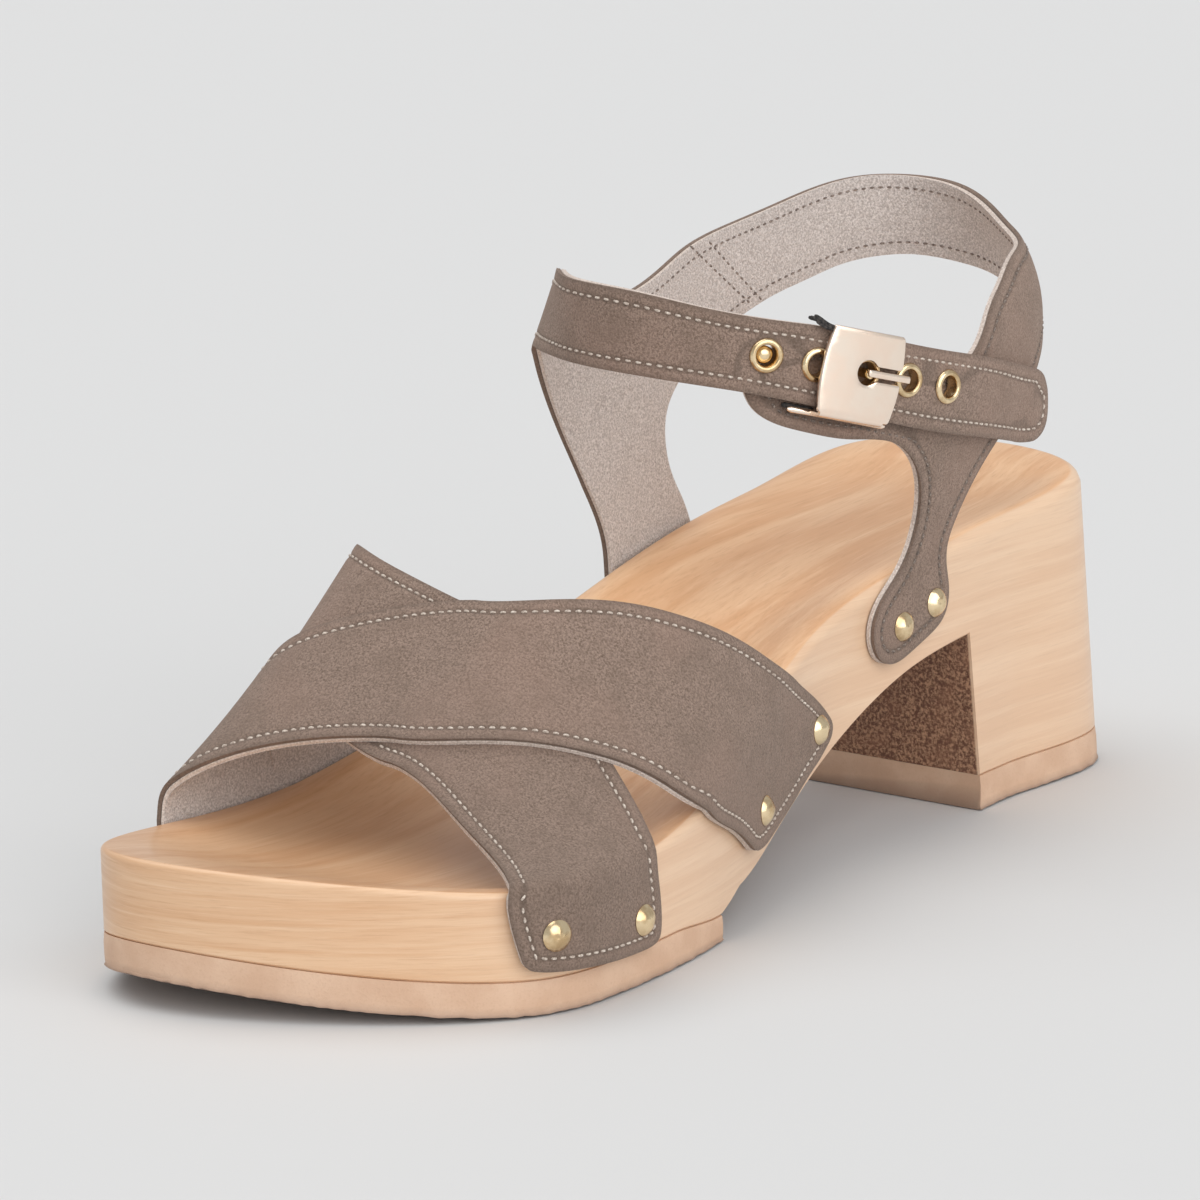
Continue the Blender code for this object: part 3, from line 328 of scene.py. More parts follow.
def sole_ring(low, high, toe, heel, also=()):
    """Edge points of the sole between two stations, with the spine point each one looks at."""
    ys = np.unique(np.concatenate([np.linspace(low, high, int((high - low) / RING_STEP) + 1), also]))
    spine_x = 0.5 * (lateral_x(ys) + medial_x(ys))
    outer = np.column_stack([lateral_x(ys), ys, spine_x, ys])
    inner = np.column_stack([medial_x(ys), ys, spine_x, ys])

    def end_arc(y, samples):
        """A rounded end in even steps; all of it looks at the spine point of its station."""
        arc = along_curve(samples, RING_STEP)
        spine = (0.5 * (lateral_x(y) + medial_x(y)), y)
        return np.column_stack([arc, np.tile(spine, (len(arc), 1))])
    rows = []
    if toe:
        keep = OUTLINE[:, 1] < TOE_ARC_Y
        rows = [outer[::-1], end_arc(TOE_ARC_Y, OUTLINE[keep]), inner]
    if heel:
        twice = np.vstack([OUTLINE[TOE_AT:-1], OUTLINE[:TOE_AT]])
        arc = end_arc(HEEL_ARC_Y, twice[twice[:, 1] > HEEL_ARC_Y])
        rows = rows + [arc] if toe else [inner, arc, outer[::-1]]
    ring = np.vstack(rows)
    d = np.roll(ring[:, :2], -1, 0) - np.roll(ring[:, :2], 1, 0)
    if not (toe and heel):
        d[0], d[-1] = ring[1, :2] - ring[0, :2], ring[-1, :2] - ring[-2, :2]
    d /= np.linalg.norm(d, axis=1)[:, None]
    out = np.column_stack([d[:, 1], -d[:, 0]])
    lean = np.sum(out * (ring[:, :2] - ring[:, :2].mean(0)))
    return ring, out if lean > 0 else -out


def towards_spine(ring, out, distance, share=0.0):
    """Edge points moved inward by a distance, then a share of the way on to the spine."""
    p, s = ring[:, :2], ring[:, 2:]
    reach = np.linalg.norm(p - s, axis=1)[:, None]
    near = reach < distance * 1.5
    t = np.minimum(distance / np.maximum(reach, 1e-6), 1.0)
    moved = np.where(near, p + (s - p) * t, p - out * distance)
    return moved + (s - moved) * share


def piece(name, points, faces, finish, marks=None, sharp=35.0, weld=True):
    """Puts points in millimetres and faces into a closed mesh, marks and all, with faces outward."""
    mesh = bpy.data.meshes.new(name)
    mesh.from_pydata(((np.asarray(points) - MIDDLE) * MM).tolist(), [], faces)
    for key, values in (marks or {}).items():
        mesh.attributes.new(key, "FLOAT", "POINT").data.foreach_set("value", np.asarray(values, np.float32))
    bm = bmesh.new()
    bm.from_mesh(mesh)
    if weld:
        bmesh.ops.remove_doubles(bm, verts=bm.verts[:], dist=0.000004)
    bmesh.ops.recalc_face_normals(bm, faces=bm.faces[:])
    if bm.calc_volume(signed=True) < 0:
        bmesh.ops.reverse_faces(bm, faces=bm.faces[:])
    bm.to_mesh(mesh)
    bm.free()
    mesh.materials.append(finish.material)
    mesh.shade_smooth()
    mesh.set_sharp_from_angle(angle=math.radians(sharp))
    ob = bpy.data.objects.new(name, mesh)
    bpy.context.scene.collection.objects.link(ob)
    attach(ob, "root")
    return ob


def row_faces(rows, count, closed=True):
    """Four-sided faces between neighbouring rows of count points each."""
    k, i = np.meshgrid(np.arange(rows - 1), np.arange(count if closed else count - 1), indexing="ij")
    j = (i + 1) % count
    corners = [k * count + i, k * count + j, (k + 1) * count + j, (k + 1) * count + i]
    return np.stack(corners, -1).reshape(-1, 4)


def bar_faces(rows, count):
    """The faces of a closed bar: its sides, and one face over each end."""
    ends = [list(range(count)), list(range((rows - 1) * count, rows * count))]
    return row_faces(rows, count).tolist() + ends


def skin_layers(name, ring, layers, marks, finish, closed=True):
    """A skin over rings of equal length, stacked in order; open rings get their end closed."""
    n, rows = len(ring), len(layers)
    quads = row_faces(rows, n, closed).tolist()
    if not closed:
        quads.append([r * n for r in range(rows)] + [r * n + n - 1 for r in reversed(range(rows))])
    return piece(name, np.vstack(layers), quads, finish, {key: np.repeat(v, n) for key, v in marks.items()})


ring, out = sole_ring(TOE_ARC_Y, HEEL_ARC_Y, True, True, (OUTSOLE_END_Y, BREAST_TOP_Y, BREAST_FOOT_Y))
edge_y = ring[:, 1]
edge_round = np.interp(edge_y, EDGE_ROUND_Y, EDGE_ROUND_R)
layers, under = [], []


def under_layer(inset, share):
    """Underside at an inset and a share of the way to the spine, with the heel's flare."""
    p = towards_spine(ring, out, inset, share)
    z = wood_floor_z(np.where(np.abs(edge_y - ring[:, 3]) < 1e-6, edge_y, p[:, 1]))
    return np.column_stack([*heel_flare(p[:, 0], p[:, 1], z), z])


for share in (1.0, 0.8, 0.6, 0.4, 0.2, 0.08):
    layers.append(under_layer(0.4, share))
    under.append(1.0)
layers += [under_layer(0.8, 0.0), under_layer(CHAMFER, 0.0)]
under += [1.0, 0.0]
wall_low, wall_high = wood_floor_z(edge_y), rim_z(ring[:, 0], edge_y) - edge_round
for share in (0.0, 0.12, 0.3, 0.5, 0.7, 0.88, 1.0):
    z = wall_low + (CHAMFER if share == 0.0 else 0.0) + (wall_high - wall_low) * share
    layers.append(np.column_stack([*heel_flare(ring[:, 0], edge_y, z), z]))
    under.append(0.0)
for turn in np.radians((15, 30, 45, 60, 75, 90)):
    p = ring[:, :2] - out * (edge_round * (1 - math.cos(turn)))[:, None]
    z = rim_z(p[:, 0], p[:, 1]) - edge_round * (1 - math.sin(turn))
    layers.append(np.column_stack([p, z]))
    under.append(0.0)
for inset, share in ((3.6, 0), (4.6, 0), (6, 0), (8, 0), (10, 0), (10, 0.12), (10, 0.26), (10, 0.4),
                     (10, 0.55), (10, 0.7), (10, 0.85), (10, 1.0)):
    p = towards_spine(ring, out, inset, share)
    deep = smooth((inset - 3.0 + share * 14.0) / 13.0) * DISH_DEPTH
    deep = deep * smooth((p[:, 1] - DISH_FRONT[0]) / DISH_FRONT[1])
    deep = deep * smooth((DISH_REAR[0] - p[:, 1]) / DISH_REAR[1])
    layers.append(np.column_stack([p, rim_z(p[:, 0], p[:, 1]) - deep]))
    under.append(0.0)
BLENDED_ROWS = 14
over = np.zeros(len(layers))
over[-BLENDED_ROWS:] = 1.0

wood = Finish("lacquered_wood", Roughness=0.42, Coat_Weight=0.30, Coat_Roughness=0.25, IOR=1.45)
over_top = wood.mark("top")
along_top = wood.place((1.25, 0.055, 0.8), (0, 0, math.radians(3)))
along_wall = wood.place((0.11, 0.075, 2.6), (math.radians(5), math.radians(2), 0))


def grain(scale, detail, roughness, bend):
    """Streaks that run lengthwise on top and level along the walls."""
    on_top = wood.noise(along_top, scale, detail, roughness, bend)
    return on_top * over_top + wood.noise(along_wall, scale, detail, roughness, bend) * (1 - over_top)


fine, streak, bands = grain(1500, 3.0, 0.6, 0.0), grain(560, 4.0, 0.62, 0.25), grain(120, 3.0, 0.55, 0.5)
cloud = wood.noise(wood.place((1.0, 0.45, 1.0)), 22, 2.0)
pale = wood.mix(bands.between(0.36, 0.64), (0.672, 0.396, 0.218), (0.765, 0.508, 0.315))
pale = wood.mix(streak.between(0.50, 0.74) * 0.40, pale, (0.590, 0.325, 0.165))
pale = wood.mix((1 - streak.between(0.28, 0.46)) * 0.30, pale, (0.880, 0.640, 0.440))
pale = wood.mix(fine.between(0.50, 0.75) * 0.32, pale, (0.480, 0.255, 0.130))
pale = wood.mix(cloud.between(0.45, 0.75) * 0.15, pale, (0.780, 0.480, 0.300))
speck = wood.noise(wood.place(), 1500, 3.0, 0.7)
blotch = wood.noise(wood.place(), 160, 3.0)
rough_wood = wood.mix(speck.between(0.40, 0.66), (0.150, 0.066, 0.040), (0.56, 0.32, 0.190))
rough_wood = wood.mix(blotch.between(0.45, 0.7) * 0.4, rough_wood, (0.34, 0.165, 0.095))
below = wood.mark("under")
length_way = wood.node("ShaderNodeSeparateXYZ", None, {"Vector": wood.place()}, 1)
# Painted sheen: the side walls behind the toe are mixed towards a pale tan, standing in for the lacquer's
# sheen.
side = (1 - over_top) * length_way.between(-0.108, -0.070)
# Painted shade: the top of the wood from the toe back to under the crossed straps is mixed towards dark
# brown, standing in for the straps' shade.
painted_toe_shade = over_top * (1 - length_way.between(-0.075, -0.020))
pale = wood.mix(over_top, pale, wood.mix(1.0, pale, (1.07, 1.01, 0.94), "MULTIPLY"))
pale = wood.mix(side, pale, wood.mix(0.34, pale, (0.84, 0.67, 0.52)))
pale = wood.mix(painted_toe_shade * 0.24, pale, (0.27, 0.150, 0.085))
wood.coat(Base_Color=wood.mix(below, pale, rough_wood), Roughness=0.36 + 0.5 * below + 0.08 * fine)
wood.bump(fine * 0.25 + streak * 0.3 + speck * below * 2.5, 0.22, 0.0006)
sole = skin_layers("wooden_sole_block", ring, layers, {"under": under, "top": over}, wood)
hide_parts("wooden_sole")

# The rubber outsole and the heel lift: sheets of beige rubber glued under the wood and trimmed flush, with
# a thin moulding edge at the floor. The outsole thins to its rear end, where the arch begins.
rubber = Finish("beige_rubber", Roughness=0.62, IOR=1.5)
fine_rubber = rubber.noise(rubber.place(), 2200, 3.0)
soft_rubber = rubber.noise(rubber.place(), 120, 3.0)
rubber_tone = rubber.mix(soft_rubber.between(0.35, 0.7), (0.64, 0.42, 0.285), (0.71, 0.49, 0.345))
rubber_tone = rubber.mix(fine_rubber.between(0.5, 0.75) * 0.25, rubber_tone, (0.52, 0.32, 0.21))
at_floor = rubber.mark("foot")
rubber_tone = rubber.mix(at_floor * 0.75, rubber_tone, (0.20, 0.13, 0.10))
rubber.coat(Base_Color=rubber_tone, Roughness=0.55 + 0.2 * fine_rubber)
rubber.bump(fine_rubber, 0.3, 0.0003)
SEAM = 0.27
RUBBER_ROWS = ((0.5, 1.0, 0.0, 1.0), (0.5, 0.5, 0.0, 1.0), (0.9, 0.0, 0.0, 1.0),
               (-0.25, 0.0, 0.02, 1.0), (0.0, 0.0, 0.10, 0.4), (-0.105, 0.0, 0.3, 0.0),
               (-0.14, 0.0, 0.7, 0.0), (0.03, 0.0, 0.985, 0.0), (0.6, 0.0, 1.0, 0.0),
               (0.6, 0.5, 1.0, 0.0), (0.6, 1.0, 1.0, 0.0))
FOOT_RAGGED = (0.015, 0.2)


def rubber_sheet(name, low, high, toe, heel, bottom, top, node):
    """Rubber under the wood: rows from the middle of its foot out to the foot edge, up the bulged side and
    in to the middle of its top, each by inset, share of the way to the spine, rise and darkness."""
    ring, out = sole_ring(low, high, toe, heel)
    y = ring[:, 1]
    rough = 0.16 * np.sin(y * 1.9 + ring[:, 0] * 1.3) + 0.14 * np.sin(y * 4.7 - ring[:, 0] * 3.1)
    rows, foot = [], []
    for inset, share, rise, mark in RUBBER_ROWS:
        p = towards_spine(ring, out, abs(inset), share) if inset >= 0 else ring[:, :2] - out * inset
        under_y = np.where(np.abs(y - ring[:, 3]) < 1e-6, y, p[:, 1])
        z0, z1 = bottom(under_y), top(under_y)
        z = z0 + (z1 - z0) * rise + (rough * 0.5 + 0.1) * (FOOT_RAGGED[0] < rise < FOOT_RAGGED[1])
        rows.append(np.column_stack([*heel_flare(p[:, 0], p[:, 1], z), z]))
        foot.append(mark)
    ob = skin_layers(name, ring, rows, {"foot": foot}, rubber, closed=toe and heel)
    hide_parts(node)


rubber_sheet("rubber_outsole", TOE_ARC_Y, OUTSOLE_END_Y, True, False, floor_z,
             lambda y: floor_z(y) + outsole_thick(y) + SEAM, "forefoot_outsole")
rubber_sheet("rubber_heel_lift", BREAST_FOOT_Y, HEEL_ARC_Y, False, True, lambda y: 0.0 * y,
             lambda y: 0.0 * y + LIFT_THICK + SEAM, "heel_lift")

# The two crossed straps: suede laminated on a pale split lining, cut to pattern, stitched round near the
# edge with off-white thread, laid over each other and nailed to the sides of the wood.
STRAP_THICK, WALL_GAP, ARCH_SPAN = 1.9, 0.45, 120.0
CROWN, CROWN_RISE, CROWN_AT_Y, ARCH_TILT = 43.9, 0.756, -40.0, -0.594
WIDE_POWER_OUTER, WIDE_POWER_INNER = 1.37, 4.59
HIGH_POWER_OUTER, HIGH_POWER_INNER = 2.085, 1.895
CROSSING_LIFT, LIFT_RISE, LIFT_FALL = 1.8, (8.0, 22.0), (100.0, 20.0)
UPPER_FRONT = ((-18.7, -21.5), (-9.6, -30.5), (0, -41.8), (15, -49.3), (30, -57.3), (45, -66.7),
               (60, -75.9), (75, -83.0), (90, -87.7), (105, -90.3), (120, -91.6), (131.5, -91.2))
UPPER_REAR = ((-18.0, 17.0), (-12.2, 12.5), (0, 0.2), (15, -12.2), (30, -25.3), (45, -39.0), (60, -52.2),
              (75, -61.4), (90, -64.8), (105, -64.2), (120, -61.8), (131.5, -61.0))
LOWER_FRONT = ((-13.2, -91.0), (-4.3, -93.0), (0, -93.3), (15, -90.4), (30, -86.4), (45, -83.4),
               (60, -79.2), (75, -73.2), (90, -67.8), (105, -65.8), (120, -62.4), (133, -56.5))
LOWER_REAR = ((-14.8, -59.4), (-7.5, -59.6), (0, -60.6), (15, -58.2), (30, -55.4), (45, -53.5),
              (60, -52.6), (75, -51.6), (90, -46.2), (105, -37.0), (120, -24.5), (132, -16.5))
UPPER_END_OUT = ((-20.6, -17.0), (-21.6, -1.8), (-21.0, 11.5), (-19.4, 16.2))
UPPER_END_IN = ((133.4, -88.6), (134.0, -76.0), (133.4, -63.6))
LOWER_END_OUT = ((-13.8, -88.0), (-14.2, -79.0), (-15.0, -68.0), (-15.6, -61.0))
LOWER_END_IN = ((134.8, -52.6), (135.4, -36.0), (134.6, -20.0))
UPPER_NAILS = ((-13.9, -16.8), (-15.4, 10.6), (127.5, -85.0), (127.5, -67.0))
LOWER_NAILS = ((-7.4, -86.0), (-9.8, -65.0), (128.0, -50.6), (128.5, -23.0))


def wall_x(side, y, away):
    """The side wall of the sole at y, moved out square to the outline."""
    curve = lateral_x if side > 0 else medial_x
    slope = (curve(y + 1.0) - curve(y - 1.0)) / 2.0
    return curve(y) + side * away * np.sqrt(1.0 + slope * slope)


def foot_form(a, y):
    """Down the outer wall below 0, a leaning arch over the foot, down the inner wall past its span."""
    a, y = np.broadcast_arrays(np.asarray(a, float), np.asarray(y, float))
    outer, inner = wall_x(1, y, WALL_GAP), wall_x(-1, y, WALL_GAP)
    turn = math.pi * np.clip(a / ARCH_SPAN, 0, 1)
    c, s = np.cos(turn), np.maximum(np.sin(turn), 0)
    half, mid, t = 0.5 * (outer - inner), 0.5 * (outer + inner), 0.5 * (1 - c)
    wide = WIDE_POWER_OUTER + (WIDE_POWER_INNER - WIDE_POWER_OUTER) * t
    high = HIGH_POWER_OUTER + (HIGH_POWER_INNER - HIGH_POWER_OUTER) * t
    x = mid + half * np.sign(c) * np.abs(c) ** (2 / wide)
    base = rim_z(outer, y) * (1 + c) / 2 + rim_z(inner, y) * (1 - c) / 2
    crown = CROWN + CROWN_RISE * (y - CROWN_AT_Y)
    z = base + crown * (1 + ARCH_TILT * c) * s ** (2 / high)
    z = z + np.minimum(a, 0) - np.maximum(a - ARCH_SPAN, 0)
    return np.stack([x, y, z], -1)


def upper_lift(a, y):
    """The upper strap rises off the form where it lies on the lower one."""
    rise = smooth((a - LIFT_RISE[0]) / LIFT_RISE[1])
    return CROSSING_LIFT * rise * (1.0 - smooth((a - LIFT_FALL[0]) / LIFT_FALL[1]))


def no_lift(u, v):
    """A strap that lies on its form all along."""
    return 0.0 * u


def slopes(form, u, v, e=0.05):
    """How the form's point moves with u and with v, and the unit normal."""
    du = (form(u + e, v) - form(u - e, v)) / (2 * e)
    dv = (form(u, v + e) - form(u, v - e)) / (2 * e)
    n = np.cross(du, dv)
    return du, dv, n / np.linalg.norm(n, axis=-1, keepdims=True)


def lay_on(form, side, u, v, off):
    """Point of the form at a pattern place, moved off by a height on its outer side."""
    return form(u, v) + slopes(form, u, v)[2] * (side * np.asarray(off))[..., None]


def curve_through(points, share=8):
    """A row of points along a soft curve through the given ones."""
    p = np.array(points, float)
    run = np.concatenate([[0], np.cumsum(np.linalg.norm(np.diff(p, axis=0), axis=1))])
    at = np.interp(np.arange((len(run) - 1) * share + 1) / share, np.arange(len(run)), run)
    return np.column_stack([natural_spline(run, p[:, 0])(at), natural_spline(run, p[:, 1])(at)])


def even_loop(form, loop, step):
    """A closed pattern line stepped evenly by its true length on the form."""
    loop = np.vstack([loop, loop[:1]])
    run = np.concatenate([[0], np.cumsum(np.linalg.norm(np.diff(form(*loop.T), axis=0), axis=1))])
    at = np.linspace(0, run[-1], max(int(round(run[-1] / step)), 3) + 1)[:-1]
    return np.column_stack([np.interp(at, run, loop[:, k]) for k in (0, 1)])


def round_corners(form, loop, radius):
    """Cuts the corners of a closed pattern line three times, each time by less."""
    loop = even_loop(form, loop, radius)
    for _ in range(3):
        ahead = np.roll(loop, -1, 0)
        loop = np.stack([loop * 0.75 + ahead * 0.25, loop * 0.25 + ahead * 0.75], 1).reshape(-1, 2)
    return loop


def inset_loop(form, loop, distance):
    """The closed line moved into the sheet by a true distance on the form."""
    ahead, back = np.roll(loop, -1, 0), np.roll(loop, 1, 0)
    area = np.sum(loop[:, 0] * ahead[:, 1] - ahead[:, 0] * loop[:, 1])
    du, dv, n = slopes(form, loop[:, 0], loop[:, 1])
    t = du * (ahead - back)[:, :1] + dv * (ahead - back)[:, 1:]
    t /= np.linalg.norm(t, axis=1)[:, None]
    into = np.cross(n, t) * (1 if area > 0 else -1)
    e, f, g = (du * du).sum(1), (du * dv).sum(1), (dv * dv).sum(1)
    p, q, det = (du * into).sum(1), (dv * into).sum(1), e * g - f ** 2
    step = np.column_stack([(g * p - f * q) / det, (e * q - f * p) / det])
    return loop + step * distance


def far_from(points, line):
    """Distance of each point to the nearest of the line's pieces, in blocks of points."""
    a, b = line, np.roll(line, -1, 0)
    ab, out = b - a, []
    for block in np.array_split(points, max(len(points) // 400, 1)):
        q = block[:, None] - a[None]
        t = np.clip((q * ab).sum(-1) / (ab * ab).sum(-1), 0, 1)
        out.append(np.sqrt(((q - t[..., None] * ab) ** 2).sum(-1).min(1)))
    return np.concatenate(out)


def within(points, loop):
    """Whether each pattern point lies inside the closed line."""
    x, y = points[:, :1], points[:, 1:]
    a, b = loop, np.roll(loop, -1, 0)
    crosses = (a[:, 1] > y) != (b[:, 1] > y)
    rise = np.where(np.abs(b[:, 1] - a[:, 1]) < 1e-12, 1e-12, b[:, 1] - a[:, 1])
    return (np.sum(crosses & (x < a[:, 0] + (y - a[:, 1]) * (b[:, 0] - a[:, 0]) / rise), axis=1) % 2) == 1


STITCH_IN, STITCH_PITCH = 2.4, 1.72
STITCH_DENT, DENT_WIDE, EDGE_SOFT, CLEAR_SHARE = 0.22, 0.55, 0.35, 0.93
EDGE_STEP, HOLE_STEP = 0.9, 0.45
EDGE_ROWS = (0.28, 0.55, 0.80, 0.90, 1.0, 1.10, 1.35, 1.62)
EDGE_PULL = (0.10, 0.0, 0.05, 0.22, 0.26, 0.10, 0.0, 0.06)
INSETS = (0.22, 0.6, 1.1, 1.6, 2.0, 2.4, 2.8, 3.4, 4.2, 5.2)


def pattern_triangles(rims, spots):
    """Triangles over the spots inside the first closed line and outside the others, which are holes."""
    edges, start = [], 0
    for rim in rims:
        edges += [(start + i, start + (i + 1) % len(rim)) for i in range(len(rim))]
        start += len(rim)
    flat = [Vector(p) for p in np.vstack(rims + [spots]).tolist()]
    places, _, tris, _, _, _ = delaunay_2d_cdt(flat, edges, [], 0, 1e-7)
    places, tris = np.array([tuple(p) for p in places]), np.array(tris)
    middles = places[tris].mean(1)
    keep = within(middles, rims[0])
    for rim in rims[1:]:
        keep &= ~within(middles, rim)
    return places, tris[keep]


def wrap(rows):
    """Four-sided faces between neighbouring closed rows of point numbers."""
    faces = []
    for a, b in zip(rows[:-1], rows[1:]):
        faces += np.column_stack([a, np.roll(a, -1), np.roll(b, -1), b]).tolist()
    return faces


def cut_sheet(name, outline, holes, form, side, lift, finish, node, grid):
    """A strap cut from a sheet: pattern triangles laid on the form, an outer and an inner skin and a cut
    edge between them, with the outer skin pressed down a little along the stitches."""
    outline = even_loop(form, outline, EDGE_STEP)
    rims = [outline] + [even_loop(form, h, HOLE_STEP) for h in holes]
    line3 = form(*outline.T)
    extra = []
    for d in INSETS:
        row = inset_loop(form, even_loop(form, outline, EDGE_STEP), d)
        ok = far_from(form(*row.T), line3) > CLEAR_SHARE * d
        extra.append(row[ok & within(row, outline)])
    low, high = outline.min(0), outline.max(0)
    u, v = np.meshgrid(np.arange(low[0], high[0], grid[0]), np.arange(low[1], high[1], grid[1]))
    spots = np.column_stack([u.ravel(), v.ravel()])
    spots = spots[within(spots, outline)]
    extra.append(spots[far_from(form(*spots.T), line3) > INSETS[-1] + 0.7])
    inner_spots = np.vstack(extra)
    for rim in rims[1:]:
        clear = ~within(inner_spots, rim) & (far_from(inner_spots, rim) > 0.35)
        inner_spots = inner_spots[clear]
    places, tris = pattern_triangles(rims, inner_spots)
    u, v = places.T
    away = far_from(form(u, v), line3)
    base = lift(u, v)
    press = STITCH_DENT * np.exp(-((away - STITCH_IN) / DENT_WIDE) ** 2)
    outer = base + STRAP_THICK - press - 0.10 * np.exp(-away / EDGE_SOFT)
    inner = base + 0.08 * np.exp(-away / EDGE_SOFT)
    n = len(places)
    skins = [lay_on(form, side, u, v, inner), lay_on(form, side, u, v, outer)]
    layer, edge = [np.zeros(n), np.ones(n)], [away, away]
    faces = tris[:, ::-1].tolist() + (tris + n).tolist()
    start, top = 0, 2 * n
    for rim in rims:
        m = len(rim)
        ids = [np.arange(start, start + m)]
        for height, pull in zip(EDGE_ROWS, EDGE_PULL):
            moved = inset_loop(form, rim, pull if start == 0 else -pull)
            here = lay_on(form, side, moved[:, 0], moved[:, 1],
                          (inner + (outer - inner) * height / STRAP_THICK)[start:start + m])
            skins.append(here)
            layer.append(np.full(m, height / STRAP_THICK))
            edge.append(np.zeros(m))
            ids.append(np.arange(top, top + m))
            top += m
        ids.append(np.arange(start, start + m) + n)
        faces += wrap(ids)
        start += m
    ob = piece(name, np.vstack(skins), faces, finish,
               {"layer": np.concatenate(layer), "edge": np.concatenate(edge)}, 50.0, weld=False)
    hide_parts(node)


STITCH_GRAIN = np.array(((-0.60, 0.05, -0.22), (-0.46, 0.19, -0.03), (-0.16, 0.25, 0.07),
                         (0.16, 0.25, 0.07), (0.46, 0.19, -0.03), (0.60, 0.05, -0.22)))
STITCH_SIDES = 6
STITCH_SUNK, LINING_LIFT = 0.16, 0.10


def stitches(name, outline, form, side, lift, finish, closed=True, skip=None, lining=False):
    """Thread round a strap: one short fat grain repeated end to end on the outer skin or on the lining."""
    path = inset_loop(form, even_loop(form, outline, 0.7), STITCH_IN) if closed else outline
    if closed:
        clear = far_from(form(*path.T), form(*outline.T)) > CLEAR_SHARE * STITCH_IN
        path = even_loop(form, path[clear & within(path, outline)], STITCH_PITCH)
    if skip is not None:
        path = path[~skip(path)]
    ahead = np.roll(path, -1, 0) if closed else np.vstack([path[1:], 2 * path[-1:] - path[-2:-1]])
    u, v = path.T
    here = lay_on(form, side, u, v, lift(u, v) + (LINING_LIFT if lining else STRAP_THICK - STITCH_SUNK))
    n = slopes(form, u, v)[2] * side * (-1 if lining else 1)
    t = form(*ahead.T) - form(u, v)
    far = np.linalg.norm(t, axis=1) < STITCH_PITCH * 2.2
    here, n, t = here[far], n[far], t[far]
    t -= n * (t * n).sum(1)[:, None]
    t /= np.linalg.norm(t, axis=1)[:, None]
    b = np.cross(n, t)
    turn = np.arange(STITCH_SIDES) * 2 * math.pi / STITCH_SIDES
    along = np.repeat(STITCH_GRAIN[:, 0], STITCH_SIDES)
    wide = (STITCH_GRAIN[:, 1:2] * np.cos(turn)).ravel()
    tall = (STITCH_GRAIN[:, 1:2] * np.sin(turn) + STITCH_GRAIN[:, 2:3]).ravel()
    points = (here[:, None] + t[:, None] * along[:, None] + b[:, None] * wide[:, None]
              + n[:, None] * tall[:, None])
    first = (np.arange(len(here)) * len(along))[:, None, None]
    faces = (row_faces(len(STITCH_GRAIN), STITCH_SIDES)[None] + first).reshape(-1, 4).tolist()
    ends = np.array([np.arange(STITCH_SIDES)[::-1], np.arange(STITCH_SIDES) + len(along) - STITCH_SIDES])
    faces += (ends[None] + first).reshape(-1, STITCH_SIDES).tolist()
    ob = piece(name, points.reshape(-1, 3), faces, finish, None, 80.0, weld=False)


suede = Finish("taupe_suede", Roughness=0.95, IOR=1.4, Sheen_Weight=0.22, Sheen_Roughness=0.45,
               Sheen_Tint=(0.90, 0.76, 0.66, 1.0))
layer, rim = suede.mark("layer"), suede.mark("edge")
nap = suede.noise(suede.place(), 2500, 4.0, 0.7)
tuft = suede.noise(suede.place(), 1050, 4.0, 0.65)
mottle = suede.noise(suede.place(), 170, 4.0, 0.6)
patch = suede.noise(suede.place(), 38, 2.0)
skin = suede.mix(nap.between(0.34, 0.66), (0.140, 0.094, 0.069), (0.385, 0.280, 0.224))
skin = suede.mix(tuft.between(0.35, 0.7) * 0.45, skin, (0.300, 0.215, 0.175))
skin = suede.mix(mottle.between(0.44, 0.64) * 0.34, skin, (0.190, 0.134, 0.102))
skin = suede.mix(patch.between(0.42, 0.62) * 0.26, skin, (0.345, 0.226, 0.176))
near_edge = 1 - rim.between(0.0, 1.2)
near_stitch = (1 - ((rim - STITCH_IN) ** 2).between(0.02, 0.55)) * 0.45
painted_shade_height = suede.node("ShaderNodeSeparateXYZ", None, {"Vector": suede.place()}, 2)
# Painted shade: suede low down, fully below 12 mm and fading out by 70 mm, is mixed towards dark brown.
skin = suede.mix((1 - painted_shade_height.between(0.012, 0.070)) * 0.30, skin, (0.125, 0.092, 0.072))
skin = suede.mix(near_edge * 0.42, skin, (0.13, 0.095, 0.074))
skin = suede.mix(near_stitch, skin, (0.11, 0.080, 0.062))
split = suede.mix(nap.between(0.34, 0.66), (0.40, 0.350, 0.325), (0.80, 0.735, 0.700))
split = suede.mix(tuft.between(0.35, 0.72) * 0.35, split, (0.52, 0.465, 0.432))
cut = suede.mix(nap.between(0.3, 0.7), (0.54, 0.44, 0.38), (0.86, 0.76, 0.69))
is_skin = layer.between(0.52, 0.56)
is_cut = (1 - rim.between(0.01, 0.1)) * (1 - layer.between(0.50, 0.53)) * layer.between(0.0, 0.06)
seam = (1 - ((layer - 0.51) ** 2).between(0.0002, 0.0025)) * (1 - rim.between(0.01, 0.1))
tone = suede.mix(is_skin, suede.mix(is_cut, split, cut), skin)
tone = suede.mix(seam * 0.8, tone, (0.07, 0.052, 0.042))
suede.coat(Base_Color=tone, Roughness=0.88 + 0.1 * nap)
suede.bump(nap * 0.6 + tuft * 0.6 + mottle * 0.4, 0.6, 0.0009)

thread = Finish("pale_thread", Roughness=0.8)
twist = thread.noise(thread.place(), 2600, 2.0)
thread.coat(Base_Color=thread.mix(twist.between(0.35, 0.7), (0.42, 0.34, 0.285), (0.74, 0.66, 0.58)))
thread.bump(twist, 0.4, 0.0002)


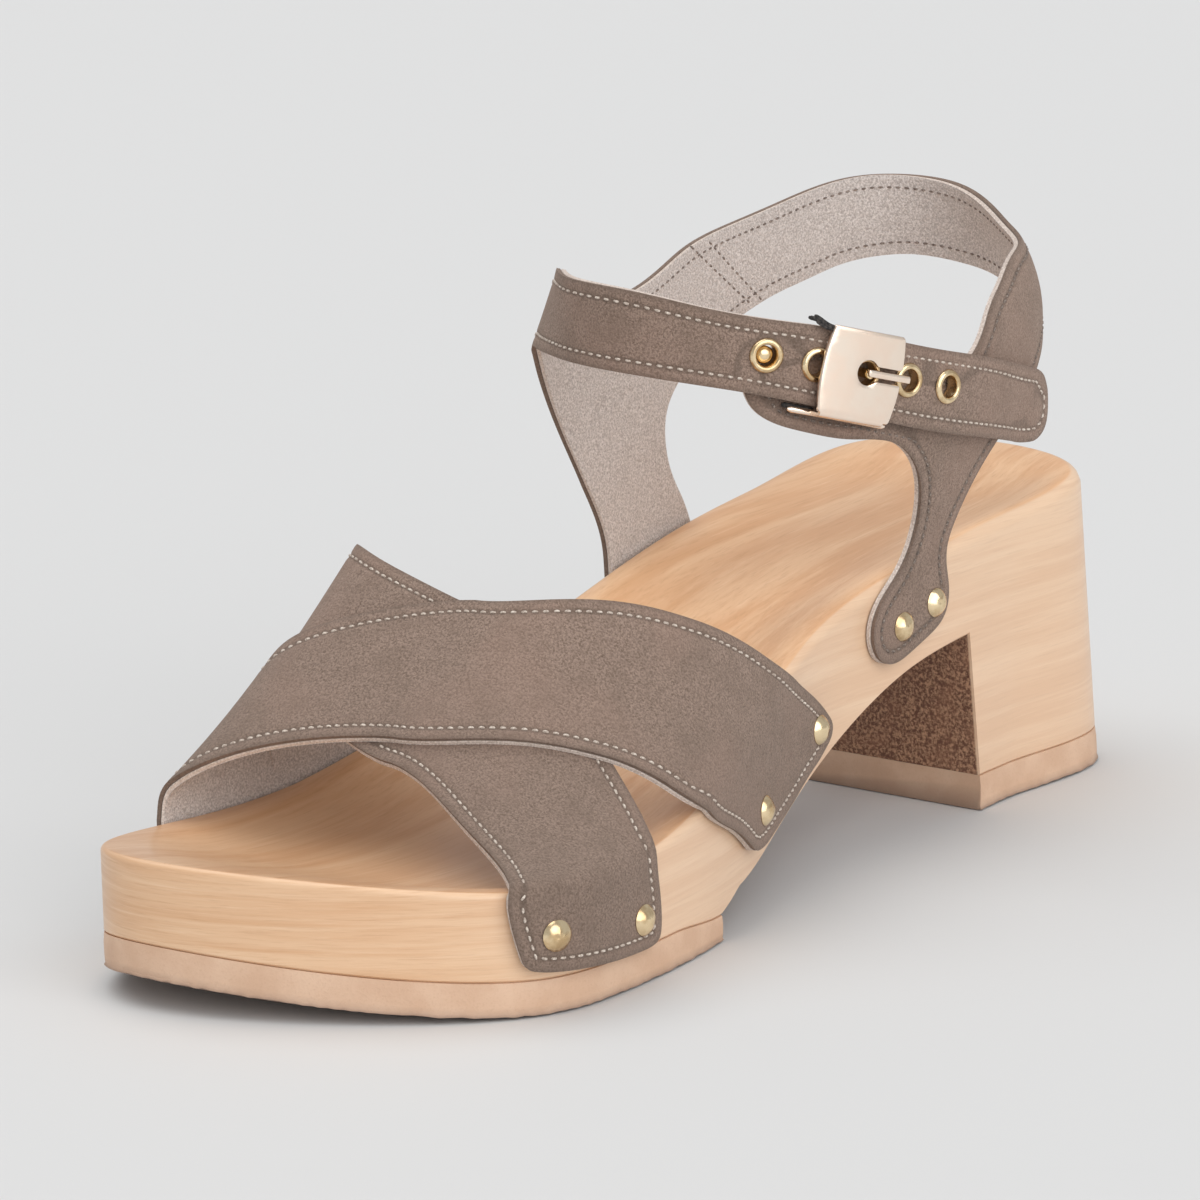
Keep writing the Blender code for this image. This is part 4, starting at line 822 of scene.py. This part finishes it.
def strap_outline(front, rear, end_out, end_in):
    """Front edge, inner end, rear edge and outer end joined to one line, its corners rounded."""
    loop = np.vstack([curve_through(front), end_in, curve_through(rear)[::-1], end_out[::-1]])
    return round_corners(foot_form, loop, 3.2)


lower = strap_outline(LOWER_FRONT, LOWER_REAR, LOWER_END_OUT, LOWER_END_IN)
upper = strap_outline(UPPER_FRONT, UPPER_REAR, UPPER_END_OUT, UPPER_END_IN)
cut_sheet("cross_strap_lower", lower, [], foot_form, -1.0, no_lift, suede, "cross_straps", (1.5, 1.9))
cut_sheet("cross_strap_upper", upper, [], foot_form, -1.0, upper_lift, suede, "cross_straps", (1.5, 1.9))


CROSSING = (12, 112)


def under_upper(path):
    """The lower strap's stitches that the upper strap hides."""
    return within(path, upper) & (path[:, 0] > CROSSING[0]) & (path[:, 0] < CROSSING[1])


stitches("thread_lower", lower, foot_form, -1.0, no_lift, thread, skip=under_upper)
stitches("thread_upper", upper, foot_form, -1.0, upper_lift, thread)

# The quarter with the ankle strap: one suede piece that runs round the heel as a band, down both sides of
# the wood as two legs, and from the fold at the inner front across the foot as the buckled strap.
LOOP = closed_spline(((-27, 3), (-14, -7), (2, -9), (15, -0.5), (25, 14), (31, 30), (33.8, 47),
                      (32.4, 66.0), (26.0, 85.2), (15, 96), (1, 103), (-14, 99.5), (-25, 82),
                      (-29, 50), (-29, 22)), 0.7)
LOOP_LENGTH = 295.6
LOOP_RUN = np.concatenate([[0], np.cumsum(np.linalg.norm(np.diff(LOOP, axis=0), axis=1))])
LOOP_RUN *= LOOP_LENGTH / LOOP_RUN[-1]
LEAN_Z, LEAN_RATE = 94.0, 0.0205
LEAN_RISE, LEAN_FALL = (104.0, 14.0), (156.0, 44.0)
LOOP_MIDDLE = (0.0, 45.0)
WALL_TOP_Z, FREE_Z = 50.0, 88.0
FOLD_SLANT, FOLD_Z, FOLD_REACH = 0.62, 95.0, 26.0
HELD_FROM, HELD_TO = (4.0, 12.0), (66.0, 12.0)


def ankle_form(s, z):
    """The loop seen from above at way s, drawn in to the side of the wood low down, with the back of the
    band leaning in, and the fold at the inner front slanting back."""
    s, z = np.broadcast_arrays(np.asarray(s, float), np.asarray(z, float))
    at = s % LOOP_LENGTH
    x, y = np.interp(at, LOOP_RUN, LOOP[:, 0]), np.interp(at, LOOP_RUN, LOOP[:, 1])
    held = 1.0 - smooth((z - WALL_TOP_Z) / (FREE_Z - WALL_TOP_Z))
    held = held * smooth((y - HELD_FROM[0]) / HELD_FROM[1]) * (1.0 - smooth((y - HELD_TO[0]) / HELD_TO[1]))
    x = x + (np.where(x > 0, wall_x(1, y, GAP), wall_x(-1, y, GAP)) - x) * held
    leaning = smooth((at - LEAN_RISE[0]) / LEAN_RISE[1]) * (1.0 - smooth((at - LEAN_FALL[0]) / LEAN_FALL[1]))
    lean = LEAN_RATE * np.maximum(z - LEAN_Z, 0.0) ** 2 * leaning * (s < LOOP_LENGTH)
    away = np.hypot(x - LOOP_MIDDLE[0], y - LOOP_MIDDLE[1])
    x = x - (x - LOOP_MIDDLE[0]) / away * lean
    y = y - (y - LOOP_MIDDLE[1]) / away * lean
    from_fold = np.minimum(at, LOOP_LENGTH - at)
    y = y + FOLD_SLANT * np.maximum(z - FOLD_Z, 0.0) * (1.0 - smooth(from_fold / FOLD_REACH))
    return np.stack([x, y, z], -1)


QUARTER_TOP = ((58, 98.5), (66, 99.3), (76, 98), (90, 93.5), (100, 90.5), (106, 90.4), (112, 93.2),
               (116, 97.5), (120, 100.7), (124, 102.6), (130, 105.2), (136, 106.9), (142, 107.6),
               (148, 108.0), (155, 108.8), (162, 110.2), (170, 111.8), (180, 114.3), (190, 115.8),
               (204, 116.1), (213, 114.6), (222, 112.5), (233, 110.4), (242, 108.8), (248, 107.2),
               (255.3, 104.2), (264, 101.4), (272, 100.6), (280, 101.6), (288, 103.8))
STRAP_TOP = ((292, 105.4), (297, 107.6), (302, 109.4), (308, 111.0), (315, 112.0), (323, 111.9),
             (331.5, 111.2), (343.2, 108.3), (354.9, 105.3), (368.8, 102.3), (385.8, 97.4),
             (394.7, 94.9), (405.3, 92.2), (418, 88.6), (427.5, 86.0))
TAIL_END = ((430.8, 84.0), (432.6, 80.5), (432.4, 76.6), (430.4, 73.6), (427.0, 72.4))
STRAP_FOOT = ((424, 73.0), (411, 76.3), (395.4, 79.8), (381.9, 83.2), (366.5, 87.7), (352.4, 91.7),
              (340.7, 94.2), (331, 95.8), (316, 96.4), (303, 95.8), (297, 94.6))
INNER_LEG = ((295, 92), (288.4, 80), (281.2, 65), (276.8, 54), (276.4, 49), (276.0, 44), (274.5, 38.5),
             (270.5, 35.6), (262, 37), (253, 40), (247.6, 43), (246.2, 47), (247.6, 52), (250.6, 58),
             (254.6, 64), (256.6, 70.6), (256.0, 76.5), (252.3, 81.5))
BAND_FOOT = ((246, 86), (238, 90), (229.1, 93.3), (222.8, 95.2), (214.9, 97.1), (207.6, 99.1),
             (200, 100.2), (192, 100.4), (183.9, 99.4), (174.4, 97.9), (160, 94.5), (145, 89),
             (134, 82.6), (125.6, 77))
OUTER_LEG = ((121.0, 73.4), (117, 69.2), (114.2, 64.8), (111.8, 60), (110.2, 55), (110.6, 50),
             (111.2, 45.5), (109.6, 41.5), (105.7, 39.1), (99.4, 36.7), (93, 35.1), (88.8, 36.6),
             (86.7, 41.7), (89.4, 47.2), (94.6, 51.4), (98.0, 55.5), (99.5, 60.5), (99.2, 66),
             (97.4, 71), (94.2, 75.2), (90, 78.3))
TAB_FOOT = ((86.3, 79.6), (77.7, 80.7), (68, 83.1), (61.2, 85.9), (58.2, 88.7), (56.9, 92))
STRAP_OVER, STRAP_START, STRAP_AWAY = 2.35, 304.0, 346.0
EYELETS = tuple((356.2 + 9.7 * k, 98.3 - 2.57 * k) for k in range(5))
EYELET_HOLE, HOLE_SIDES = 2.35, 20
THREAD_CHANGE, BAND_FROM, BAND_TO, BAND_ABOVE = 290, 118, 262, 88
BAND_SEAMS = (((247.0, 107.2), (231.0, 94.6)), ((241.6, 107.4), (227.6, 94.8)))
LEG_NAILS = ((96.3, 41.8), (106.6, 44.6), (264.8, 42.0), (251.2, 45.6))


def ankle_lift(s, z):
    """The strap leaves the quarter's surface past the fold and lies over it at the buckle side."""
    return STRAP_OVER * smooth((s - STRAP_START) / (STRAP_AWAY - STRAP_START))


quarter = np.vstack([curve_through(QUARTER_TOP + STRAP_TOP, 5), TAIL_END,
                     curve_through(STRAP_FOOT + INNER_LEG + BAND_FOOT + OUTER_LEG + TAB_FOOT, 5)])
quarter = round_corners(ankle_form, quarter, 2.2)
turn = np.arange(HOLE_SIDES) * 2 * math.pi / HOLE_SIDES
round_hole = EYELET_HOLE * np.column_stack([np.cos(turn), np.sin(turn)])
cut_sheet("quarter_and_ankle_strap", quarter, [round_hole + at for at in EYELETS], ankle_form, 1.0,
          ankle_lift, suede, "ankle_quarter", (1.7, 1.7))
brown_thread = Finish("brown_thread", Roughness=0.85)
ply = brown_thread.noise(brown_thread.place(), 2600, 2.0)
brown = brown_thread.mix(ply.between(0.35, 0.7), (0.13, 0.10, 0.085), (0.33, 0.27, 0.23))
brown_thread.coat(Base_Color=brown)
brown_thread.bump(ply, 0.4, 0.0002)


def off_ankle_strap(path):
    """Stitches before the fold, which belong to the quarter."""
    return path[:, 0] < THREAD_CHANGE


def on_ankle_strap(path):
    """Stitches past the fold, which belong to the ankle strap."""
    return path[:, 0] >= THREAD_CHANGE


def off_band(path):
    """Stitches outside the heel band; only the band's lining shows its thread."""
    return (path[:, 0] < BAND_FROM) | (path[:, 0] > BAND_TO) | (path[:, 1] < BAND_ABOVE)


stitches("thread_ankle_strap", quarter, ankle_form, 1.0, ankle_lift, thread, skip=off_ankle_strap)
stitches("thread_quarter", quarter, ankle_form, 1.0, ankle_lift, brown_thread, skip=on_ankle_strap)
stitches("thread_on_lining", quarter, ankle_form, 1.0, ankle_lift, brown_thread, skip=off_band, lining=True)
for k, ends in enumerate(BAND_SEAMS):
    stitches("thread_seam_%d" % (k + 1), along_curve(np.array(ends), STITCH_PITCH), ankle_form, 1.0,
             ankle_lift, brown_thread, closed=False, lining=True)

# The domed nails: pressed brass heads on steel shanks, two to each strap end and each leg, driven through
# the suede into the side of the wood. The heads are slightly dented.
brass = Finish("polished_brass", Metallic=1.0, Roughness=0.24)
tarnish = brass.noise(brass.place(), 320, 3.0)
scratch = brass.noise(brass.place((1, 1, 0.2)), 2400, 3.0)
brass.coat(Base_Color=brass.mix(tarnish.between(0.35, 0.7), (0.93, 0.75, 0.48), (0.62, 0.44, 0.24)),
           Roughness=0.12 + 0.20 * tarnish)
brass.bump(tarnish * 0.7 + scratch * 0.12, 0.25, 0.0004)
NAIL_DOME = ((0.0, 1.62), (0.6, 1.58), (1.2, 1.44), (1.75, 1.18), (2.25, 0.82), (2.62, 0.42),
             (2.80, 0.18), (2.74, 0.02), (0.9, 0.02), (0.9, -1.6), (0.0, -1.6))
NAIL_DENT, TURNED_SIDES = 0.05, 40


def turned(name, profile, form, side, lift, at, finish, node, dent=0.0):
    """A round piece: a profile of radius and height turned about the strap's normal at a place."""
    u, v = np.array([at[0]]), np.array([at[1]])
    base = lay_on(form, side, u, v, lift(u, v) + STRAP_THICK)[0]
    n = slopes(form, u, v)[2][0] * side
    a = np.cross(n, (0.0, 0.0, 1.0))
    a /= np.linalg.norm(a)
    b = np.cross(n, a)
    r, h = np.array(profile).T
    turn = np.arange(TURNED_SIDES) * 2 * math.pi / TURNED_SIDES
    h = h[None] + dent * np.sin(3 * turn + at[0])[:, None] * (r > 0)[None] * (h > 0.3)[None]
    ray = a * np.cos(turn)[:, None] + b * np.sin(turn)[:, None]
    points = base + ray[:, None] * r[None, :, None] + n * h[..., None]
    rows, joined = len(r), r[0] > 0
    k, i = np.meshgrid(np.arange(TURNED_SIDES), np.arange(rows if joined else rows - 1), indexing="ij")
    j, m = (i + 1) % rows, (k + 1) % TURNED_SIDES
    faces = np.stack([k * rows + i, m * rows + i, m * rows + j, k * rows + j], -1).reshape(-1, 4).tolist()
    ob = piece(name, points.reshape(-1, 3), faces, finish, None, 40.0)
    if node:
        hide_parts(node)


for group, form, side, places, lift in (("upper", foot_form, -1.0, UPPER_NAILS, upper_lift),
                                        ("lower", foot_form, -1.0, LOWER_NAILS, no_lift),
                                        ("leg", ankle_form, 1.0, LEG_NAILS, ankle_lift)):
    for k, at in enumerate(places):
        turned("dome_%s_%d" % (group, k + 1), NAIL_DOME, form, side, lift, at, brass,
               "nail_%s_%d" % (group, k + 1), NAIL_DENT)

# The eyelets: rolled brass rings pressed through the holes of the ankle strap, five in a row. The head of
# a small brass stud is seen inside the first one.
EYELET_RING = ((2.05, 0.28), (2.13, 0.55), (2.34, 0.70), (2.64, 0.72), (2.96, 0.58), (3.20, 0.30),
               (3.26, 0.04), (2.32, 0.04), (2.30, -2.0), (2.05, -2.0))
STUD = ((0.0, -0.35), (0.7, -0.42), (1.3, -0.72), (1.65, -1.15), (1.65, -1.8), (0.0, -1.8))
for k, at in enumerate(EYELETS):
    turned("eyelet_ring_%d" % (k + 1), EYELET_RING, ankle_form, 1.0, ankle_lift, at, brass,
           "eyelet_%d" % (k + 1))
turned("stud_in_first_eyelet", STUD, ankle_form, 1.0, ankle_lift, EYELETS[0], brass, None)

# The buckle: a plate of polished pale rose-gold metal laid over the strap, with a keyhole open to the rear
# and a lower edge rolled down to a round bar below the strap; its prong stands in the third eyelet.
gold = Finish("rose_gold_plate", Metallic=1.0, Roughness=0.2)
haze = gold.noise(gold.place(), 240, 3.0)
brushed = gold.noise(gold.place((1, 1, 9)), 900, 3.0)
gold.coat(Base_Color=gold.mix(haze.between(0.3, 0.7), (1.0, 0.86, 0.73), (1.0, 0.81, 0.67)),
          Roughness=0.17 + 0.12 * haze)
gold.bump(brushed * 0.4 + haze, 0.08, 0.0003)
PLATE_AT, STRAP_FALL = (374.8, 93.6), 0.265
PLATE_HALF_LONG, PLATE_BOW, PLATE_SHIFT = 8.85, 1.05, -0.9
PLATE_TOP, PLATE_FOOT, PLATE_THICK, PLATE_OFF, PLATE_BEND = 7.6, -8.8, 1.0, 1.5, 0.006
KEYHOLE_R, SLOT_HALF, LIP_DEPTH = 2.3, 1.3, 3.4
BAR_R, BAR_FRONT, BAR_REAR, BAR_BELOW, BAR_OVER = 0.62, -14.6, 5.6, -9.45, 3.3
PRONG_HALF, PRONG_REACH, PRONG_EYELET = 0.7, 1.2, 2
EDGE_ROUND = ((0.34, 0.0), (0.10, 0.06), (0.0, 0.28), (0.0, 0.70), (0.10, 0.90), (0.34, 1.0))
PLATE_REACH, PLATE_GRID, SPOT_CLEAR, CORNER_ROUND = 12.0, 1.1, 0.4, 0.8
PRONG_POST = ((0.0, 2.2), (0.5, 2.16), (0.82, 1.95), (0.9, 1.6), (0.9, -1.4), (0.0, -1.4))
LIP = ((0.9, -0.08), (0.1, -0.02), (-0.30, -0.12), (-0.58, -0.42), (-0.70, -0.85),
       (-0.70, 0.2 - LIP_DEPTH), (-0.5, -LIP_DEPTH), (-0.2, -LIP_DEPTH), (-0.05, 0.2 - LIP_DEPTH),
       (-0.05, -1.0), (0.9, -0.8))

at_u, at_v = np.array([PLATE_AT[0]]), np.array([PLATE_AT[1]])
plate_base = lay_on(ankle_form, 1.0, at_u, at_v, ankle_lift(at_u, at_v) + STRAP_THICK)[0]
strap_way = (ankle_form(at_u + 1.0, at_v - STRAP_FALL) - ankle_form(at_u - 1.0, at_v + STRAP_FALL))[0]
off_strap = slopes(ankle_form, at_u, at_v)[2][0]
strap_way -= off_strap * strap_way.dot(off_strap)
strap_way /= np.linalg.norm(strap_way)
up_strap = np.cross(off_strap, strap_way)
up_strap *= np.sign(up_strap[2])


def on_plate(flat, height):
    """Points given along the strap and up it, at a height over it that falls towards the plate's ends."""
    height = np.broadcast_to(height, len(flat)) - PLATE_BEND * (flat[:, 0] - PLATE_SHIFT) ** 2
    return plate_base + flat[:, :1] * strap_way + flat[:, 1:] * up_strap + height[:, None] * off_strap


def flat_form(a, b):
    """The plate's own plane, along the strap and up it."""
    return np.stack([a, b, 0.0 * a], -1)


def metal_cut(name, loop, low, thick, finish, node):
    """A flat metal shape: rings up its rounded edge, and triangles with inner points on both faces."""
    loop = round_corners(flat_form, loop, CORNER_ROUND)
    rings = [(inset_loop(flat_form, loop, inset), low + thick * rise) for inset, rise in EDGE_ROUND]
    rim, count = rings[0][0], len(loop)
    a, b = np.meshgrid(*[np.arange(-PLATE_REACH, PLATE_REACH, PLATE_GRID)] * 2)
    spots = np.column_stack([a.ravel(), b.ravel()])
    spots = spots[within(spots, rim)]
    spots = spots[far_from(spots, rim) > SPOT_CLEAR] if len(spots) else spots
    places, tris = pattern_triangles([rim], spots)
    points = [on_plate(places, rings[0][1]), on_plate(places, rings[-1][1])]
    n, ids = len(places), [np.arange(count)]
    faces, top = tris[:, ::-1].tolist() + (tris + n).tolist(), 2 * n
    for ring, height in rings[1:-1]:
        points.append(on_plate(ring, height))
        ids.append(np.arange(top, top + count))
        top += count
    ids.append(np.arange(count) + n)
    faces += wrap(ids)
    ob = piece(name, np.vstack(points), faces, finish, None, 40.0, weld=False)
    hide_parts(node)


ROD_SIDES = 14


def rod(name, path, radius, finish, node, flat=1.0):
    """A bar along a row of points: a ring at each point, pressed flat towards the strap by a share."""
    way = np.gradient(path, axis=0)
    way /= np.linalg.norm(way, axis=1)[:, None]
    across = np.cross(off_strap, way)
    across /= np.linalg.norm(across, axis=1)[:, None]
    lifted = np.cross(way, across)
    turn = np.arange(ROD_SIDES) * 2 * math.pi / ROD_SIDES
    from_end = np.minimum(np.arange(len(path)), np.arange(len(path))[::-1])
    wide = radius * np.clip(from_end * 0.5 + 0.55, 0, 1)
    rings = path[:, None] + wide[:, None, None] * (across[:, None] * np.cos(turn)[:, None]
                                                  + lifted[:, None] * flat * np.sin(turn)[:, None])
    ob = piece(name, rings.reshape(-1, 3), bar_faces(len(path), ROD_SIDES), finish, None, 50.0, weld=False)
    if node:
        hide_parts(node)


def plate_side(b):
    """Half length of the plate at a height: widest in the middle."""
    middle, half = 0.5 * (PLATE_TOP + PLATE_FOOT), 0.5 * (PLATE_TOP - PLATE_FOOT)
    return PLATE_HALF_LONG - PLATE_BOW * ((b - middle) / half) ** 2


down = np.linspace(PLATE_TOP, PLATE_FOOT, 12)
rear_low, rear_high = np.linspace(PLATE_FOOT, -SLOT_HALF, 6), np.linspace(SLOT_HALF, PLATE_TOP, 6)
open_half = math.asin(SLOT_HALF / KEYHOLE_R)
hole = np.linspace(-open_half, open_half - 2 * math.pi, 30)
plate_loop = np.vstack([np.column_stack([PLATE_SHIFT - plate_side(down), down]),
                        np.column_stack([PLATE_SHIFT + plate_side(rear_low), rear_low]),
                        KEYHOLE_R * np.column_stack([np.cos(hole), np.sin(hole)]),
                        np.column_stack([PLATE_SHIFT + plate_side(rear_high), rear_high])])
metal_cut("rose_gold_buckle_plate", plate_loop, PLATE_OFF, PLATE_THICK, gold, "buckle_plate")

lip_side, roll = plate_side(PLATE_FOOT) - 0.3, PLATE_OFF + PLATE_THICK
lip_b, lip_h = np.array(LIP).T
stations = np.linspace(PLATE_SHIFT - lip_side, BAR_REAR, 14)
lip_rows = np.vstack([on_plate(np.column_stack([np.full(len(LIP), a), PLATE_FOOT + lip_b]), roll + lip_h)
                      for a in stations])
rolled = piece("rolled_lower_edge", lip_rows, bar_faces(len(stations), len(LIP)), gold, None, 40.0,
               weld=False)
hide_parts("buckle_plate")
bar_a = np.linspace(BAR_FRONT, BAR_REAR, 30)
rod("buckle_bar", lay_on(ankle_form, 1.0, PLATE_AT[0] + bar_a, PLATE_AT[1] + BAR_BELOW - STRAP_FALL * bar_a,
                         np.full(len(bar_a), BAR_OVER)), BAR_R, gold, "buckle_plate")
prong_a = EYELETS[PRONG_EYELET][0] - PLATE_AT[0]
tongue = np.array(((prong_a - PRONG_HALF, PRONG_HALF), (prong_a - PRONG_HALF, -PRONG_HALF),
                   (PLATE_HALF_LONG + PRONG_REACH, -PRONG_HALF), (PLATE_HALF_LONG + PRONG_REACH, PRONG_HALF)))
metal_cut("buckle_tongue", tongue, PLATE_OFF + 0.1, 1.0, gold, "buckle_prong")
turned("prong_post", PRONG_POST, ankle_form, 1.0, ankle_lift, EYELETS[PRONG_EYELET], brass, "buckle_prong")

# The elastic behind the buckle: a black woven strip, only its frayed upper end comes into sight beside the
# plate.
# Below the strap a thin strip of the same black along the bar's underside is a painted shadow of the bar.
elastic = Finish("black_elastic", Roughness=0.85)
weave = elastic.noise(elastic.place(), 1900, 3.0)
elastic.coat(Base_Color=elastic.mix(weave.between(0.35, 0.7), (0.010, 0.010, 0.011), (0.075, 0.065, 0.06)))
elastic.bump(weave, 0.5, 0.0003)
STRANDS, STRAND_END = ((-13.6, 7.9, 6.9, 0.42), (-12.6, 8.3, 7.2, 0.28), (-12.0, 7.2, 6.5, 0.26)), -8.2
share = np.linspace(0, 1, 12)
for k, (front, rise, fall, radius) in enumerate(STRANDS):
    strand_a = np.linspace(front, STRAND_END, len(share))
    strand_b = rise + (fall - rise) * share + 0.2 * np.sin(share * 5.0 + k)
    strand = on_plate(np.column_stack([strand_a, strand_b]), 0.75 + 0.5 * share + 0.1 * k)
    rod("elastic_strand_%d" % (k + 1), strand, radius, elastic, None, 0.6)
# Painted shadow: a thin black strip laid on the strap along the bar's underside stands in for the bar's
# shadow.
shadow_strip_a = np.linspace(-15.4, -9.2, 14)
shadow_strip_b = PLATE_AT[1] + BAR_BELOW + 0.55 - STRAP_FALL * shadow_strip_a
bar_shadow_line = lay_on(ankle_form, 1.0, PLATE_AT[0] + shadow_strip_a, shadow_strip_b, np.full(len(shadow_strip_a), BAR_OVER - 0.6))
rod("bar_shadow_strip", bar_shadow_line, 0.5, elastic, None, 0.8)
